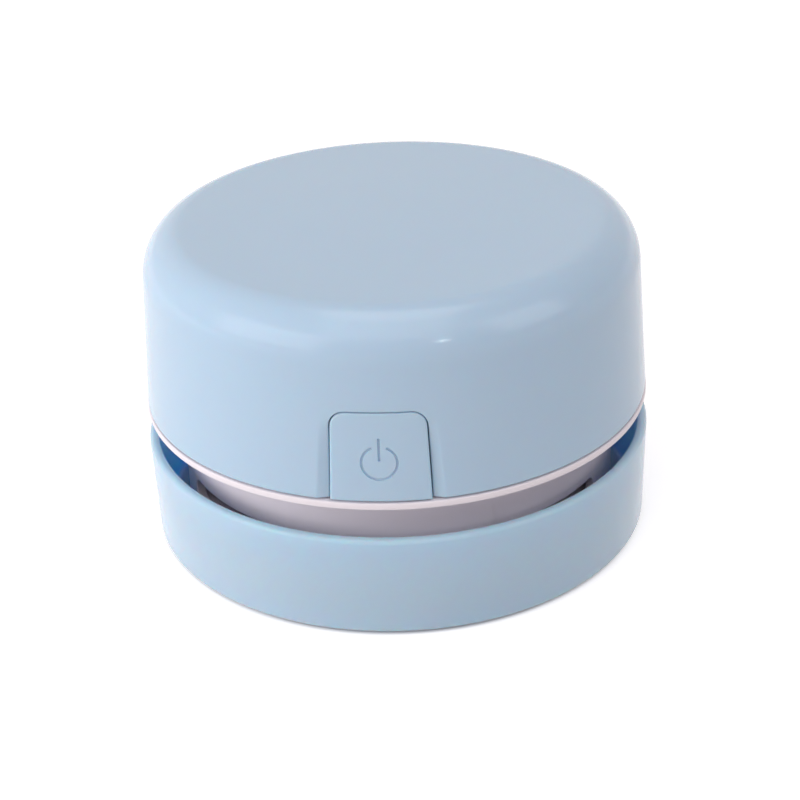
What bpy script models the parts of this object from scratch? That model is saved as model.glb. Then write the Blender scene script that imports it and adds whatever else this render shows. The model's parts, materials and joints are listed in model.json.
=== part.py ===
"""Desktop mini vacuum cleaner: a round battery vacuum for crumbs, built piece by piece.

The axis of the round body is Z, the table is at height zero, and the button faces -Y. Angles round
the axis are counted from the button, positive towards +X.
"""

import math

import bmesh
import bpy
from mathutils import Vector

MM = 0.001

# Clearances shared by all pieces
FIT_GAP = 0.3 * MM  # between pieces that sit on, in or beside each other
PRESS_GAP = 0.1 * MM  # round a shaft, and under a clip
OVERRUN = 1.0 * MM  # how far a cutter passes the face that it cuts
MERGE_DISTANCE = 0.01 * MM

# Facets round a turned piece
BIG_STEPS = 48
MID_STEPS = 32
SMALL_STEPS = 16
SCREW_STEPS = 10
ROUND_STEPS = 3

# Dust tray: outer ring
FOOT_LIFT = 0.8 * MM  # the ring's underside above the table
RIM_PROUD = 0.4 * MM  # the rim stands out past the cap's foot
RING_DRAFT = 0.45 * MM  # the ring narrows by this towards its foot
RING_RIM_HEIGHT = 18.0 * MM
RING_WALL = 1.6 * MM
RIM_ROUND = 0.8 * MM
RIM_INNER_CHAMFER = 0.4 * MM
HEEL_ROUND = 0.6 * MM

# Dust tray: floor, cup wall and intake
FLOOR_THICKNESS = 1.6 * MM
RECESS_RADIUS = 21.0 * MM  # the shallow hollow in the underside, round the intake
RECESS_DEPTH = 2.0 * MM
THROAT_RADIUS = 8.0 * MM
THROAT_WALL = 1.2 * MM
THROAT_LIP = 1.0 * MM  # keeps crumbs from falling back
CUP_WALL = 1.6 * MM
CUP_HEIGHT = 5.0 * MM
SEAL_GROOVE_DEPTH = 0.7 * MM
SEAL_GROOVE_HEIGHT = 1.6 * MM
SEAL_SPACE = 0.9 * MM  # between the cup wall and the chassis wall round it
SEAL_SECTION_RADIUS = 0.5 * MM

# Feet
FOOT_RADIUS = 3.5 * MM
FOOT_CIRCLE_RADIUS = 30.0 * MM
FOOT_POCKET_DEPTH = 0.8 * MM
FOOT_CHAMFER = 0.3 * MM
FOOT_COUNT = 4

# Brush strips
BRUSH_RADIUS = 14.5 * MM
BRUSH_WIDTH = 3.0 * MM
BRUSH_BAR_THICKNESS = 1.1 * MM
BRUSH_GROOVE_DEPTH = 1.0 * MM
BRUSH_HALF_ANGLE = math.radians(62)
BRUSH_TIP_HEIGHT = 0.3 * MM  # bristle ends above the table
TUFTS_PER_STRIP = 12
TUFT_SIDES = 5
TUFT_ROOT_RADIUS = 0.8 * MM
TUFT_TIP_RADIUS = 0.55 * MM

# Filter
FILTER_FRAME_THICKNESS = 1.3 * MM
FILTER_LEDGE_THICKNESS = 0.5 * MM
FILTER_RING_WIDTH = 3.9 * MM
FILTER_LEDGE_WIDTH = 1.5 * MM
FILTER_SPOKE_WIDTH = 1.6 * MM
FILTER_MESH_THICKNESS = 0.5 * MM
FILTER_SPOKE_COUNT = 2  # bars across the whole ring

# Chassis: the white inner wall, band and collar
EXHAUST_CHANNEL = 4.4 * MM  # between the ring and the inner wall
SKIRT_WALL = 1.5 * MM
EXHAUST_GAP = 5.3 * MM  # between the ring's rim and the band
BAND_HEIGHT = 1.2 * MM
BAND_PROUD = 0.1 * MM  # the band stands out past the cap's foot
BAND_CHAMFER = 0.2 * MM
COLLAR_HEIGHT = 4.5 * MM  # the ring that the cap slips over
COLLAR_WALL = 1.5 * MM
LEDGE_WIDTH = 1.0 * MM  # the deck sits on it
LEDGE_THICKNESS = 0.6 * MM
SLOT_HEIGHT = 3.7 * MM
SLOT_BELOW_DECK = 1.0 * MM
SLOT_COUNT = 4
SLOT_CENTRE_ANGLE = math.radians(45)
SLOT_HALF_ANGLE = math.radians(19)
SLOT_COLUMNS = 8

# Motor deck with its posts
DECK_THICKNESS = 2.0 * MM
DECK_HOLE_RADIUS = 4.0 * MM
POST_RADIUS = 2.3 * MM
PILOT_RADIUS = 1.0 * MM
PILOT_DEPTH = 6.0 * MM
MOTOR_SEAT_HEIGHT = 3.0 * MM
MOTOR_SEAT_WALL = 1.5 * MM

# Cap
CAP_DRAFT = 1.25 * MM  # the wall narrows by this up to the shoulder
CAP_WALL = 1.8 * MM
CAP_DOME = 0.3 * MM
SHOULDER_ACROSS = 6.8 * MM
SHOULDER_DOWN = 7.8 * MM
SHOULDER_STEPS = 6
SCOOP_WIDTH = 1.9 * MM  # hollows in the cap on both sides of the button
SCOOP_DEPTH = 0.6 * MM
SCOOP_BELOW_TOP = 2.0 * MM  # where it fades out, below the button's top
SCOOP_STEPS = 4

# Power button
BUTTON_WIDTH_LOW = 15.8 * MM
BUTTON_WIDTH_HIGH = 15.3 * MM
BUTTON_ABOVE_STEM = 7.6 * MM
BUTTON_CORNER = 2.4 * MM
BUTTON_THICKNESS = 1.8 * MM
BUTTON_TRAVEL = 0.9 * MM
STEM_RADIUS = 2.0 * MM
STEM_ABOVE_GUIDE_FOOT = 7.6 * MM
STEM_PAST_CLIP = 1.0 * MM
CLIP_RADIUS = 3.4 * MM
CLIP_THICKNESS = 0.6 * MM
MARK_RADIUS = 2.75 * MM
MARK_BELOW_STEM = 1.0 * MM  # its centre below the stem's axis
MARK_GAP_HALF_ANGLE = math.radians(24)
MARK_BAR_TOP = 1.35 * MM  # above the circle's top
MARK_BAR_LENGTH = 3.8 * MM
MARK_LINE = 0.45 * MM
MARK_DEPTH = 0.25 * MM
MARK_STEPS = 20

# Button guide, spring and switch
GUIDE_THICKNESS = 1.5 * MM
GUIDE_EDGE = 0.4 * MM  # beside a screw hole
GUIDE_SCREW_X = 6.5 * MM
GUIDE_FOOT_THICKNESS = 1.2 * MM
GUIDE_FOOT_REACH = 7.0 * MM
GUIDE_ABOVE_STEM = 5.1 * MM
SPRING_ROOM = 4.1 * MM  # between the guide and the button's back
SPRING_COIL_RADIUS = 3.0 * MM
SPRING_WIRE_RADIUS = 0.25 * MM
SPRING_TURNS = 3
SPRING_POINTS = 9  # a turn
BOARD_WIDTH = 11.0 * MM
BOARD_THICKNESS = 1.2 * MM
BOARD_EDGE = 0.2 * MM  # beside a screw head
BOARD_SCREW_SPACE = 0.4 * MM  # between a screw head and the switch
BOARD_SCREW_BACK = 8.4 * MM  # from the board's front edge
SWITCH_WIDTH = 7.2 * MM
SWITCH_LENGTH = 8.0 * MM
SWITCH_HEIGHT = 6.0 * MM
SWITCH_INSET = 1.0 * MM  # from the board's front edge
PLUNGER_SIDE = 3.0 * MM
PLUNGER_LENGTH = 8.0 * MM
PLUNGER_INSIDE = 2.9 * MM

# Motor
MOTOR_RADIUS = 12.2 * MM
MOTOR_HEIGHT = 11.7 * MM
CAN_WALL = 0.8 * MM
MAGNET_WALL = 1.6 * MM
AIR_GAP = 0.6 * MM  # between the magnet and the armature
ARMATURE_ABOVE_CAN_FLOOR = 1.0 * MM
ARMATURE_SLOT = 2.4 * MM
ARMATURE_CORE_RADIUS = 3.6 * MM
ARMATURE_POLES = 3
COMMUTATOR_RADIUS = 2.6 * MM
COMMUTATOR_HEIGHT = 1.3 * MM
COMMUTATOR_BELOW_END_CAP = 0.9 * MM
END_CAP_THICKNESS = 1.5 * MM
BUSH_RADIUS = 2.4 * MM
BUSH_LENGTH = 2.2 * MM
SHAFT_RADIUS = 1.0 * MM
SHAFT_BELOW_DECK = 3.8 * MM
SHAFT_ABOVE_CAN = 0.8 * MM
TERMINAL_INSET = 4.2 * MM  # from the can's outer wall
TERMINAL_THICKNESS = 0.5 * MM
TERMINAL_WIDTH = 2.0 * MM
TERMINAL_HEIGHT = 2.4 * MM

# Motor clamp
CLAMP_WIDTH = 8.0 * MM
CLAMP_THICKNESS = 1.0 * MM
CLAMP_SCREW_SPACE = 1.0 * MM  # between a screw post and the motor
CLAMP_HOLE_RADIUS = 3.2 * MM

# Fan
FAN_ROOM = 5.0 * MM  # between the inlet plate and the deck
FAN_RADIUS = 24.0 * MM
FAN_EYE_RADIUS = 9.0 * MM
FAN_DISC_THICKNESS = 0.8 * MM
FAN_DECK_GAP = 0.6 * MM
FAN_HUB_RADIUS = 3.6 * MM
BLADE_COUNT = 8
BLADE_THICKNESS = 0.9 * MM
BLADE_START_RADIUS = 8.5 * MM
BLADE_GAP = 0.6 * MM  # between the blades and the inlet plate
BLADE_SWEEP = math.radians(48)
BLADE_STEPS = 5
INLET_PLATE_THICKNESS = 0.8 * MM

# Cells and their tray
CELL_RADIUS = 7.25 * MM
CELL_LENGTH = 50.5 * MM
CELL_NUB_RADIUS = 2.75 * MM
CELL_NUB_LENGTH = 1.0 * MM
CELL_EDGE = 0.5 * MM
CELL_SPACING = 0.7 * MM  # between the two cells
CONTACT_SPACE = 3.5 * MM  # room for the spring at a cell's flat end
TRAY_WALL = 1.4 * MM
TRAY_FLOOR = 1.2 * MM
TRAY_WALL_HEIGHT = 9.0 * MM
TRAY_SCREW_INSET = 8.25 * MM  # from the tray's end
TRAY_RIB_WIDTH = 1.6 * MM
TRAY_RIB_HEIGHT = 2.5 * MM
TRAY_RIB_SPACE = 2.1 * MM  # between the rib's end and a screw head
CELL_HEADROOM = 4.7 * MM  # between the cells and the cap
CONTACT_THICKNESS = 0.4 * MM
CONTACT_WIDTH = 12.0 * MM
CONTACT_HEIGHT = 8.4 * MM
TAB_WIDTH = 3.0 * MM
TAB_DROP = 1.6 * MM  # the solder tab below the tray's floor
CELL_SPRING_TOP_RADIUS = 2.4 * MM
CELL_SPRING_FOOT_RADIUS = 4.2 * MM
CELL_SPRING_WIRE_RADIUS = 0.35 * MM
CELL_SPRING_TURNS = 3

# Screws
SCREW_HEAD_RADIUS = 1.9 * MM
SCREW_HEAD_HEIGHT = 1.2 * MM
SCREW_SHANK_RADIUS = 0.7 * MM
SCREW_SHANK_LENGTH = 6.0 * MM
SCREW_HOLE_RADIUS = 1.1 * MM
SCREW_SLOT_WIDTH = 0.5 * MM
SCREW_SLOT_DEPTH = 0.5 * MM

# Leads
LEAD_RADIUS = 0.55 * MM
LEAD_POINTS_A_SPAN = 4

# Heights that follow from the sizes above
FLOOR_TOP = FOOT_LIFT + FLOOR_THICKNESS
RECESS_CEILING = FOOT_LIFT + RECESS_DEPTH
RAISED_FLOOR_TOP = RECESS_CEILING + FLOOR_THICKNESS
THROAT_TOP = RAISED_FLOOR_TOP + THROAT_LIP
CUP_TOP = FLOOR_TOP + CUP_HEIGHT
SEAL_HEIGHT = CUP_TOP - SEAL_GROOVE_HEIGHT
FILTER_BOTTOM = CUP_TOP + FIT_GAP
FILTER_TOP = FILTER_BOTTOM + FILTER_FRAME_THICKNESS
INLET_BOTTOM = FILTER_TOP + FIT_GAP
INLET_TOP = INLET_BOTTOM + INLET_PLATE_THICKNESS
SKIRT_BOTTOM = FLOOR_TOP + FIT_GAP
DECK_BOTTOM = INLET_TOP + FAN_ROOM
DECK_TOP = DECK_BOTTOM + DECK_THICKNESS
SLOT_TOP = DECK_BOTTOM - SLOT_BELOW_DECK
BAND_BOTTOM = RING_RIM_HEIGHT + EXHAUST_GAP
BAND_TOP = BAND_BOTTOM + BAND_HEIGHT
CAP_BOTTOM = BAND_TOP + FIT_GAP
MOTOR_BOTTOM = DECK_TOP + FIT_GAP
MOTOR_TOP = MOTOR_BOTTOM + MOTOR_HEIGHT
CLAMP_BOTTOM = MOTOR_TOP + FIT_GAP
CLAMP_TOP = CLAMP_BOTTOM + CLAMP_THICKNESS
TRAY_BOTTOM = CLAMP_TOP + FIT_GAP + SCREW_HEAD_HEIGHT + FIT_GAP
TRAY_FLOOR_TOP = TRAY_BOTTOM + TRAY_FLOOR
CELL_AXIS_HEIGHT = TRAY_FLOOR_TOP + FIT_GAP + CELL_RADIUS
TOTAL_HEIGHT = CELL_AXIS_HEIGHT + CELL_RADIUS + CELL_HEADROOM + CAP_WALL + CAP_DOME
SHOULDER_BOTTOM = TOTAL_HEIGHT - CAP_DOME - SHOULDER_DOWN
GUIDE_BOTTOM = BAND_TOP + FIT_GAP
STEM_HEIGHT = GUIDE_BOTTOM + STEM_ABOVE_GUIDE_FOOT
GUIDE_TOP = STEM_HEIGHT + GUIDE_ABOVE_STEM
BUTTON_TOP = STEM_HEIGHT + BUTTON_ABOVE_STEM
SCOOP_TOP = BUTTON_TOP - SCOOP_BELOW_TOP
MARK_CENTRE_HEIGHT = STEM_HEIGHT - MARK_BELOW_STEM
BOARD_TOP = STEM_HEIGHT - SWITCH_HEIGHT / 2 - FIT_GAP
BOARD_BOTTOM = BOARD_TOP - BOARD_THICKNESS

# Distances from the axis, from the motor outwards to the ring
CLAMP_SCREW_OFFSET = MOTOR_RADIUS + CLAMP_SCREW_SPACE + POST_RADIUS
CLAMP_HALF_LENGTH = CLAMP_SCREW_OFFSET + POST_RADIUS
BOARD_FRONT = CLAMP_HALF_LENGTH + FIT_GAP + BOARD_WIDTH
SWITCH_FRONT = BOARD_FRONT - SWITCH_INSET
PLUNGER_TIP = SWITCH_FRONT + PLUNGER_LENGTH - PLUNGER_INSIDE
STEM_END = PLUNGER_TIP + FIT_GAP
GUIDE_FACE_RADIUS = STEM_END + STEM_PAST_CLIP + CLIP_THICKNESS + FIT_GAP + GUIDE_THICKNESS
BUTTON_BACK = GUIDE_FACE_RADIUS + SPRING_ROOM
CAP_HEEL_RADIUS = BUTTON_BACK + BUTTON_THICKNESS
CAP_SHOULDER_RADIUS = CAP_HEEL_RADIUS - CAP_DRAFT
CAP_INNER_HEEL = CAP_HEEL_RADIUS - CAP_WALL
BAND_RADIUS = CAP_HEEL_RADIUS + BAND_PROUD
COLLAR_RADIUS = CAP_INNER_HEEL - CAP_DRAFT * COLLAR_HEIGHT / (SHOULDER_BOTTOM - CAP_BOTTOM) - FIT_GAP
RING_RIM_RADIUS = CAP_HEEL_RADIUS + RIM_PROUD
RING_HEEL_RADIUS = RING_RIM_RADIUS - RING_DRAFT
SKIRT_RADIUS = RING_RIM_RADIUS - RING_WALL - EXHAUST_CHANNEL
SKIRT_INNER = SKIRT_RADIUS - SKIRT_WALL
DECK_RADIUS = SKIRT_INNER - FIT_GAP
CUP_RADIUS = SKIRT_INNER - SEAL_SPACE
CUP_INNER = CUP_RADIUS - CUP_WALL
FILTER_RADIUS = SKIRT_INNER - FIT_GAP
FILTER_OPEN_RADIUS = FILTER_RADIUS - FILTER_RING_WIDTH

# Other lengths that follow
ARMATURE_RADIUS = MOTOR_RADIUS - CAN_WALL - FIT_GAP - MAGNET_WALL - AIR_GAP
TERMINAL_OFFSET = MOTOR_RADIUS - TERMINAL_INSET
CELL_OFFSET = CELL_RADIUS + CELL_SPACING / 2
CONTACT_FACE = (CELL_LENGTH + CONTACT_SPACE + FIT_GAP) / 2  # a contact plate's face from the middle
TRAY_HALF_LENGTH = CONTACT_FACE + CONTACT_THICKNESS + FIT_GAP + TRAY_WALL
TRAY_SCREW_OFFSET = TRAY_HALF_LENGTH - TRAY_SCREW_INSET
TRAY_RIB_HALF_LENGTH = TRAY_SCREW_OFFSET - SCREW_HEAD_RADIUS - TRAY_RIB_SPACE
TRAY_HALF_WIDTH = CELL_OFFSET + CELL_RADIUS + FIT_GAP + TRAY_WALL
BOARD_SCREW_X = SWITCH_WIDTH / 2 + BOARD_SCREW_SPACE + SCREW_HEAD_RADIUS
BOARD_SCREW_Y = BOARD_FRONT - BOARD_SCREW_BACK
BOARD_LENGTH = 2 * (BOARD_SCREW_X + SCREW_HEAD_RADIUS + BOARD_EDGE)
GUIDE_SCREW_Y = GUIDE_FACE_RADIUS - GUIDE_FOOT_REACH + SCREW_HEAD_RADIUS
GUIDE_HALF_WIDTH = GUIDE_SCREW_X + SCREW_HOLE_RADIUS + GUIDE_EDGE
BUTTON_NOTCH_HALF = BUTTON_WIDTH_LOW / 2 + FIT_GAP

# Colours, roughness and metallic value of the finishes
FINISHES = {
    "blue_gloss": ((0.43, 0.58, 0.72), 0.22, 0.0),
    "white_plastic": ((0.80, 0.78, 0.80), 0.30, 0.0),
    "rubber": ((0.05, 0.05, 0.055), 0.85, 0.0),
    "bristle": ((0.62, 0.64, 0.68), 0.55, 0.0),
    "filter_cloth": ((0.78, 0.79, 0.80), 0.95, 0.0),
    "black_plastic": ((0.03, 0.03, 0.035), 0.45, 0.0),
    "steel": ((0.62, 0.63, 0.65), 0.28, 1.0),
    "dark_steel": ((0.25, 0.25, 0.27), 0.40, 1.0),
    "brass": ((0.78, 0.60, 0.28), 0.32, 1.0),
    "copper": ((0.75, 0.38, 0.20), 0.35, 1.0),
    "cell_sleeve": ((0.05, 0.16, 0.12), 0.35, 0.0),
    "board": ((0.05, 0.22, 0.10), 0.45, 0.0),
    "red_insulation": ((0.55, 0.03, 0.03), 0.45, 0.0),
    "black_insulation": ((0.02, 0.02, 0.02), 0.45, 0.0),
    "yellow_insulation": ((0.65, 0.48, 0.05), 0.45, 0.0),
}


def clear_scene():
    for obj in list(bpy.data.objects):
        bpy.data.objects.remove(obj, do_unlink=True)


def new_collection(name):
    made = bpy.data.collections.new(name)
    bpy.context.scene.collection.children.link(made)
    return made


def finish(name):
    """The material of this name, made the first time that it is asked for."""
    found = bpy.data.materials.get(name)
    if found:
        return found
    colour, roughness, metallic = FINISHES[name]
    made = bpy.data.materials.new(name)
    made.use_nodes = True
    shader = made.node_tree.nodes["Principled BSDF"]
    shader.inputs["Base Color"].default_value = (*colour, 1.0)
    shader.inputs["Roughness"].default_value = roughness
    shader.inputs["Metallic"].default_value = metallic
    made.diffuse_color = (*colour, 1.0)
    return made


def body_empty(name, location):
    """The empty that a moving body hangs on, on its joint's axis."""
    empty = bpy.data.objects.new(name, None)
    empty.location = location
    empty.empty_display_size = FOOT_RADIUS
    PARTS.objects.link(empty)
    bpy.context.view_layer.update()
    return empty


def piece(name, mesh, finish_name, body=None, location=(0, 0, 0), rotation=(0, 0, 0)):
    """A named sub-part with its own material, parented to its body's empty where it has one."""
    obj = bpy.data.objects.new(name, mesh)
    obj.location = location
    obj.rotation_euler = rotation
    mesh.materials.append(finish(finish_name))
    PARTS.objects.link(obj)
    if body:
        obj.parent = body
        obj.matrix_parent_inverse = body.matrix_world.inverted()
    return obj


def tool(name, mesh, location=(0, 0, 0), rotation=(0, 0, 0)):
    """A helper that cuts or joins, left out of the model itself."""
    obj = bpy.data.objects.new(name, mesh)
    obj.location = location
    obj.rotation_euler = rotation
    obj.hide_render = True
    obj.display_type = "WIRE"
    CUTTERS.objects.link(obj)
    return obj


def boolean(obj, other, operation):
    modifier = obj.modifiers.new(f"{operation.lower()} {other.name}", "BOOLEAN")
    modifier.operation = operation
    modifier.object = other


def cut(obj, other):
    boolean(obj, other, "DIFFERENCE")


def join(obj, other):
    boolean(obj, other, "UNION")


def mesh_from(bm, name):
    mesh = bpy.data.meshes.new(name)
    bm.to_mesh(mesh)
    bm.free()
    return mesh


def outline_mesh(name, points):
    """The half section of a turned piece, in radius and height. A section off the axis is closed."""
    bm = bmesh.new()
    verts = [bm.verts.new((radius, 0, height)) for radius, height in points]
    for one, two in zip(verts, verts[1:]):
        bm.edges.new((one, two))
    if points[0][0] > 0:
        bm.edges.new((verts[-1], verts[0]))
    return mesh_from(bm, name)


def turn(obj, steps):
    """Turns an outline into a solid. The outline runs down its outer side."""
    modifier = obj.modifiers.new("turned", "SCREW")
    modifier.steps = modifier.render_steps = steps
    modifier.use_merge_vertices = True
    modifier.merge_threshold = MERGE_DISTANCE
    return obj


def turned(name, points, steps, finish_name, body=None, location=(0, 0, 0), rotation=(0, 0, 0)):
    return turn(piece(name, outline_mesh(name, points), finish_name, body, location, rotation), steps)


def turned_tool(name, points, steps, location=(0, 0, 0), rotation=(0, 0, 0)):
    return turn(tool(name, outline_mesh(name, points), location, rotation), steps)


def box_mesh(name, low, high):
    bm = bmesh.new()
    bmesh.ops.create_cube(bm, size=1)
    for vert in bm.verts:
        vert.co = Vector(b if side > 0 else a for side, a, b in zip(vert.co, low, high))
    return mesh_from(bm, name)


def boxes_mesh(name, corners):
    """Several boxes in one helper mesh."""
    bm = bmesh.new()
    for low, high in corners:
        made = bmesh.ops.create_cube(bm, size=1)["verts"]
        for vert in made:
            vert.co = Vector(b if side > 0 else a for side, a, b in zip(vert.co, low, high))
    return mesh_from(bm, name)


def rods_mesh(name, rods, sides=SMALL_STEPS):
    """Upright cylinders in one mesh, each given by x, y, radius, bottom and top."""
    bm = bmesh.new()
    for x, y, radius, bottom, top in rods:
        made = bmesh.ops.create_cone(
            bm, cap_ends=True, segments=sides, radius1=radius, radius2=radius, depth=top - bottom
        )["verts"]
        bmesh.ops.translate(bm, verts=made, vec=(x, y, (bottom + top) / 2))
    return mesh_from(bm, name)


def prism_mesh(name, outline, low, high):
    """A flat outline in x and z, drawn out along Y."""
    bm = bmesh.new()
    face = bm.faces.new([bm.verts.new((x, low, z)) for x, z in outline])
    side = bmesh.ops.extrude_face_region(bm, geom=[face])["geom"]
    moved = [item for item in side if isinstance(item, bmesh.types.BMVert)]
    bmesh.ops.translate(bm, verts=moved, vec=(0, high - low, 0))
    bmesh.ops.recalc_face_normals(bm, faces=bm.faces)
    return mesh_from(bm, name)


def on_axis(angle, radius, height):
    """A point by its angle from the button, its radius and its height."""
    return (radius * math.sin(angle), -radius * math.cos(angle), height)


def lofted_mesh(name, sections):
    """A solid through a row of sections with the same number of corners."""
    bm = bmesh.new()
    rows = [[bm.verts.new(point) for point in section] for section in sections]
    for one, two in zip(rows, rows[1:]):
        for k in range(len(one)):
            after = (k + 1) % len(one)
            bm.faces.new((one[k], one[after], two[after], two[k]))
    bm.faces.new(list(reversed(rows[0])))
    bm.faces.new(rows[-1])
    bmesh.ops.recalc_face_normals(bm, faces=bm.faces)
    return mesh_from(bm, name)


def arc_bar_mesh(name, middle_angle, half_angle, steps, inner, outer, bottom, top):
    """A bar bent round the axis."""
    sections = []
    for k in range(steps + 1):
        angle = middle_angle + half_angle * (2 * k / steps - 1)
        corners = ((inner, bottom), (outer, bottom), (outer, top), (inner, top))
        sections.append([on_axis(angle, radius, height) for radius, height in corners])
    return lofted_mesh(name, sections)


def rounded(centre, across, down, start, stop, steps):
    """Points on an elliptical round, with its angles in quarter turns from straight out."""
    points = []
    for k in range(steps + 1):
        angle = math.radians(90) * (start + (stop - start) * k / steps)
        points.append((centre[0] + across * math.cos(angle), centre[1] + down * math.sin(angle)))
    return points


def smooth_route(points):
    """Points on a smooth curve through the route's own points."""
    route = [Vector(point) for point in points]
    padded = [2 * route[0] - route[1], *route, 2 * route[-1] - route[-2]]
    made = []
    for before, start, end, after in zip(padded, padded[1:], padded[2:], padded[3:]):
        for k in range(LEAD_POINTS_A_SPAN):
            t = k / LEAD_POINTS_A_SPAN
            made.append(
                0.5
                * (
                    2 * start
                    + (end - before) * t
                    + (2 * before - 5 * start + 4 * end - after) * t**2
                    + (3 * start - before - 3 * end + after) * t**3
                )
            )
    return [*made, route[-1]]


def tube(name, points, radius, finish_name, body, sides_step=1):
    """A round wire along these points."""
    curve = bpy.data.curves.new(name, "CURVE")
    curve.dimensions = "3D"
    curve.bevel_depth = radius
    curve.bevel_resolution = sides_step
    curve.use_fill_caps = True
    spline = curve.splines.new("POLY")
    spline.points.add(len(points) - 1)
    for slot, point in zip(spline.points, points):
        slot.co = (*point, 1)
    return piece(name, curve, finish_name, body)


def screw(name, x, y, seat, body):
    """A screw whose head sits on the face at this height."""
    under_head = seat + FIT_GAP
    head_top = under_head + SCREW_HEAD_HEIGHT
    points = [
        (0, SCREW_HEAD_HEIGHT),
        (SCREW_HEAD_RADIUS - SCREW_SLOT_DEPTH, SCREW_HEAD_HEIGHT),
        (SCREW_HEAD_RADIUS, SCREW_HEAD_HEIGHT - SCREW_SLOT_DEPTH),
        (SCREW_HEAD_RADIUS, 0),
        (SCREW_SHANK_RADIUS, 0),
        (SCREW_SHANK_RADIUS, SCREW_SHANK_RADIUS - SCREW_SHANK_LENGTH),
        (0, -SCREW_SHANK_LENGTH),
    ]
    made = turned(name, points, SCREW_STEPS, "steel", body, (x, y, under_head))
    low = (x - SCREW_HEAD_RADIUS - OVERRUN, y - SCREW_SLOT_WIDTH / 2, head_top - SCREW_SLOT_DEPTH)
    high = (x + SCREW_HEAD_RADIUS + OVERRUN, y + SCREW_SLOT_WIDTH / 2, head_top + OVERRUN)
    cut(made, tool(f"{name}_slot", box_mesh(name, low, high)))
    return made


def cap_radius(height):
    """The cap's outer radius on its tapered wall."""
    share = (height - CAP_BOTTOM) / (SHOULDER_BOTTOM - CAP_BOTTOM)
    return CAP_HEEL_RADIUS + (CAP_SHOULDER_RADIUS - CAP_HEEL_RADIUS) * share


def button_outline(margin, bottom):
    """The button's outline in x and z, grown by a margin."""
    top = BUTTON_TOP + margin
    corner = BUTTON_CORNER + margin
    half_low = BUTTON_WIDTH_LOW / 2 + margin
    half_high = BUTTON_WIDTH_HIGH / 2 + margin
    right = rounded((half_high - corner, top - corner), corner, corner, 0, 1, 2 * ROUND_STEPS)
    left = [(-x, z) for x, z in reversed(right)]
    return [(half_low, bottom), *right, *left, (-half_low, bottom)]


def make_dust_tray():
    slope = (RING_RIM_RADIUS - RING_HEEL_RADIUS) / (RING_RIM_HEIGHT - FOOT_LIFT)
    floor_inner = RING_HEEL_RADIUS - RING_WALL + slope * FLOOR_THICKNESS
    rim_inner = RING_RIM_RADIUS - RING_WALL
    groove_bottom = SEAL_HEIGHT - SEAL_GROOVE_HEIGHT / 2
    groove_top = SEAL_HEIGHT + SEAL_GROOVE_HEIGHT / 2
    groove_inner = CUP_RADIUS - SEAL_GROOVE_DEPTH
    rim_centre = (RING_RIM_RADIUS - RIM_ROUND, RING_RIM_HEIGHT - RIM_ROUND)
    heel_centre = (RING_HEEL_RADIUS - HEEL_ROUND, FOOT_LIFT + HEEL_ROUND)
    throat_outer = THROAT_RADIUS + THROAT_WALL
    step_radius = RECESS_RADIUS + FLOOR_THICKNESS
    points = [
        (rim_inner, RING_RIM_HEIGHT - RIM_INNER_CHAMFER),
        (rim_inner + RIM_INNER_CHAMFER, RING_RIM_HEIGHT),
        *rounded(rim_centre, RIM_ROUND, RIM_ROUND, 1, 0, ROUND_STEPS),
        *rounded(heel_centre, HEEL_ROUND, HEEL_ROUND, 0, -1, ROUND_STEPS),
        (RECESS_RADIUS, FOOT_LIFT),
        (RECESS_RADIUS, RECESS_CEILING),
        (THROAT_RADIUS, RECESS_CEILING),
        (THROAT_RADIUS, THROAT_TOP),
        (throat_outer, THROAT_TOP),
        (throat_outer, RAISED_FLOOR_TOP),
        (step_radius, RAISED_FLOOR_TOP),
        (step_radius, FLOOR_TOP),
        (CUP_INNER, FLOOR_TOP),
        (CUP_INNER, CUP_TOP),
        (CUP_RADIUS, CUP_TOP),
        (CUP_RADIUS, groove_top),
        (groove_inner, groove_top),
        (groove_inner, groove_bottom),
        (CUP_RADIUS, groove_bottom),
        (CUP_RADIUS, FLOOR_TOP),
        (floor_inner, FLOOR_TOP),
    ]
    tray = turned("dust_tray", points, BIG_STEPS, "blue_gloss")
    pockets = [
        (x, y, FOOT_RADIUS + FIT_GAP, FOOT_LIFT - OVERRUN, FOOT_LIFT + FOOT_POCKET_DEPTH)
        for x, y in foot_places()
    ]
    cut(tray, tool("foot_pockets", rods_mesh("foot_pockets", pockets)))
    for side, middle in (("left", math.radians(-90)), ("right", math.radians(90))):
        half_width = BRUSH_WIDTH / 2 + FIT_GAP
        half_angle = BRUSH_HALF_ANGLE + FIT_GAP / BRUSH_RADIUS
        groove = arc_bar_mesh(
            f"brush_groove_{side}",
            middle,
            half_angle,
            TUFTS_PER_STRIP,
            BRUSH_RADIUS - half_width,
            BRUSH_RADIUS + half_width,
            RECESS_CEILING - OVERRUN,
            RECESS_CEILING + BRUSH_GROOVE_DEPTH,
        )
        cut(tray, tool(f"brush_groove_{side}", groove))


def foot_places():
    places = []
    for k in range(FOOT_COUNT):
        x, y, _ = on_axis(math.tau * (k + 0.5) / FOOT_COUNT, FOOT_CIRCLE_RADIUS, 0)
        places.append((x, y))
    return places


def make_feet():
    top = FOOT_LIFT + FOOT_POCKET_DEPTH - FIT_GAP
    points = [
        (0, top),
        (FOOT_RADIUS, top),
        (FOOT_RADIUS, FOOT_CHAMFER),
        (FOOT_RADIUS - FOOT_CHAMFER, 0),
        (0, 0),
    ]
    for number, (x, y) in enumerate(foot_places(), 1):
        turned(f"foot_{number}", points, SMALL_STEPS, "rubber", None, (x, y, 0))


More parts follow.
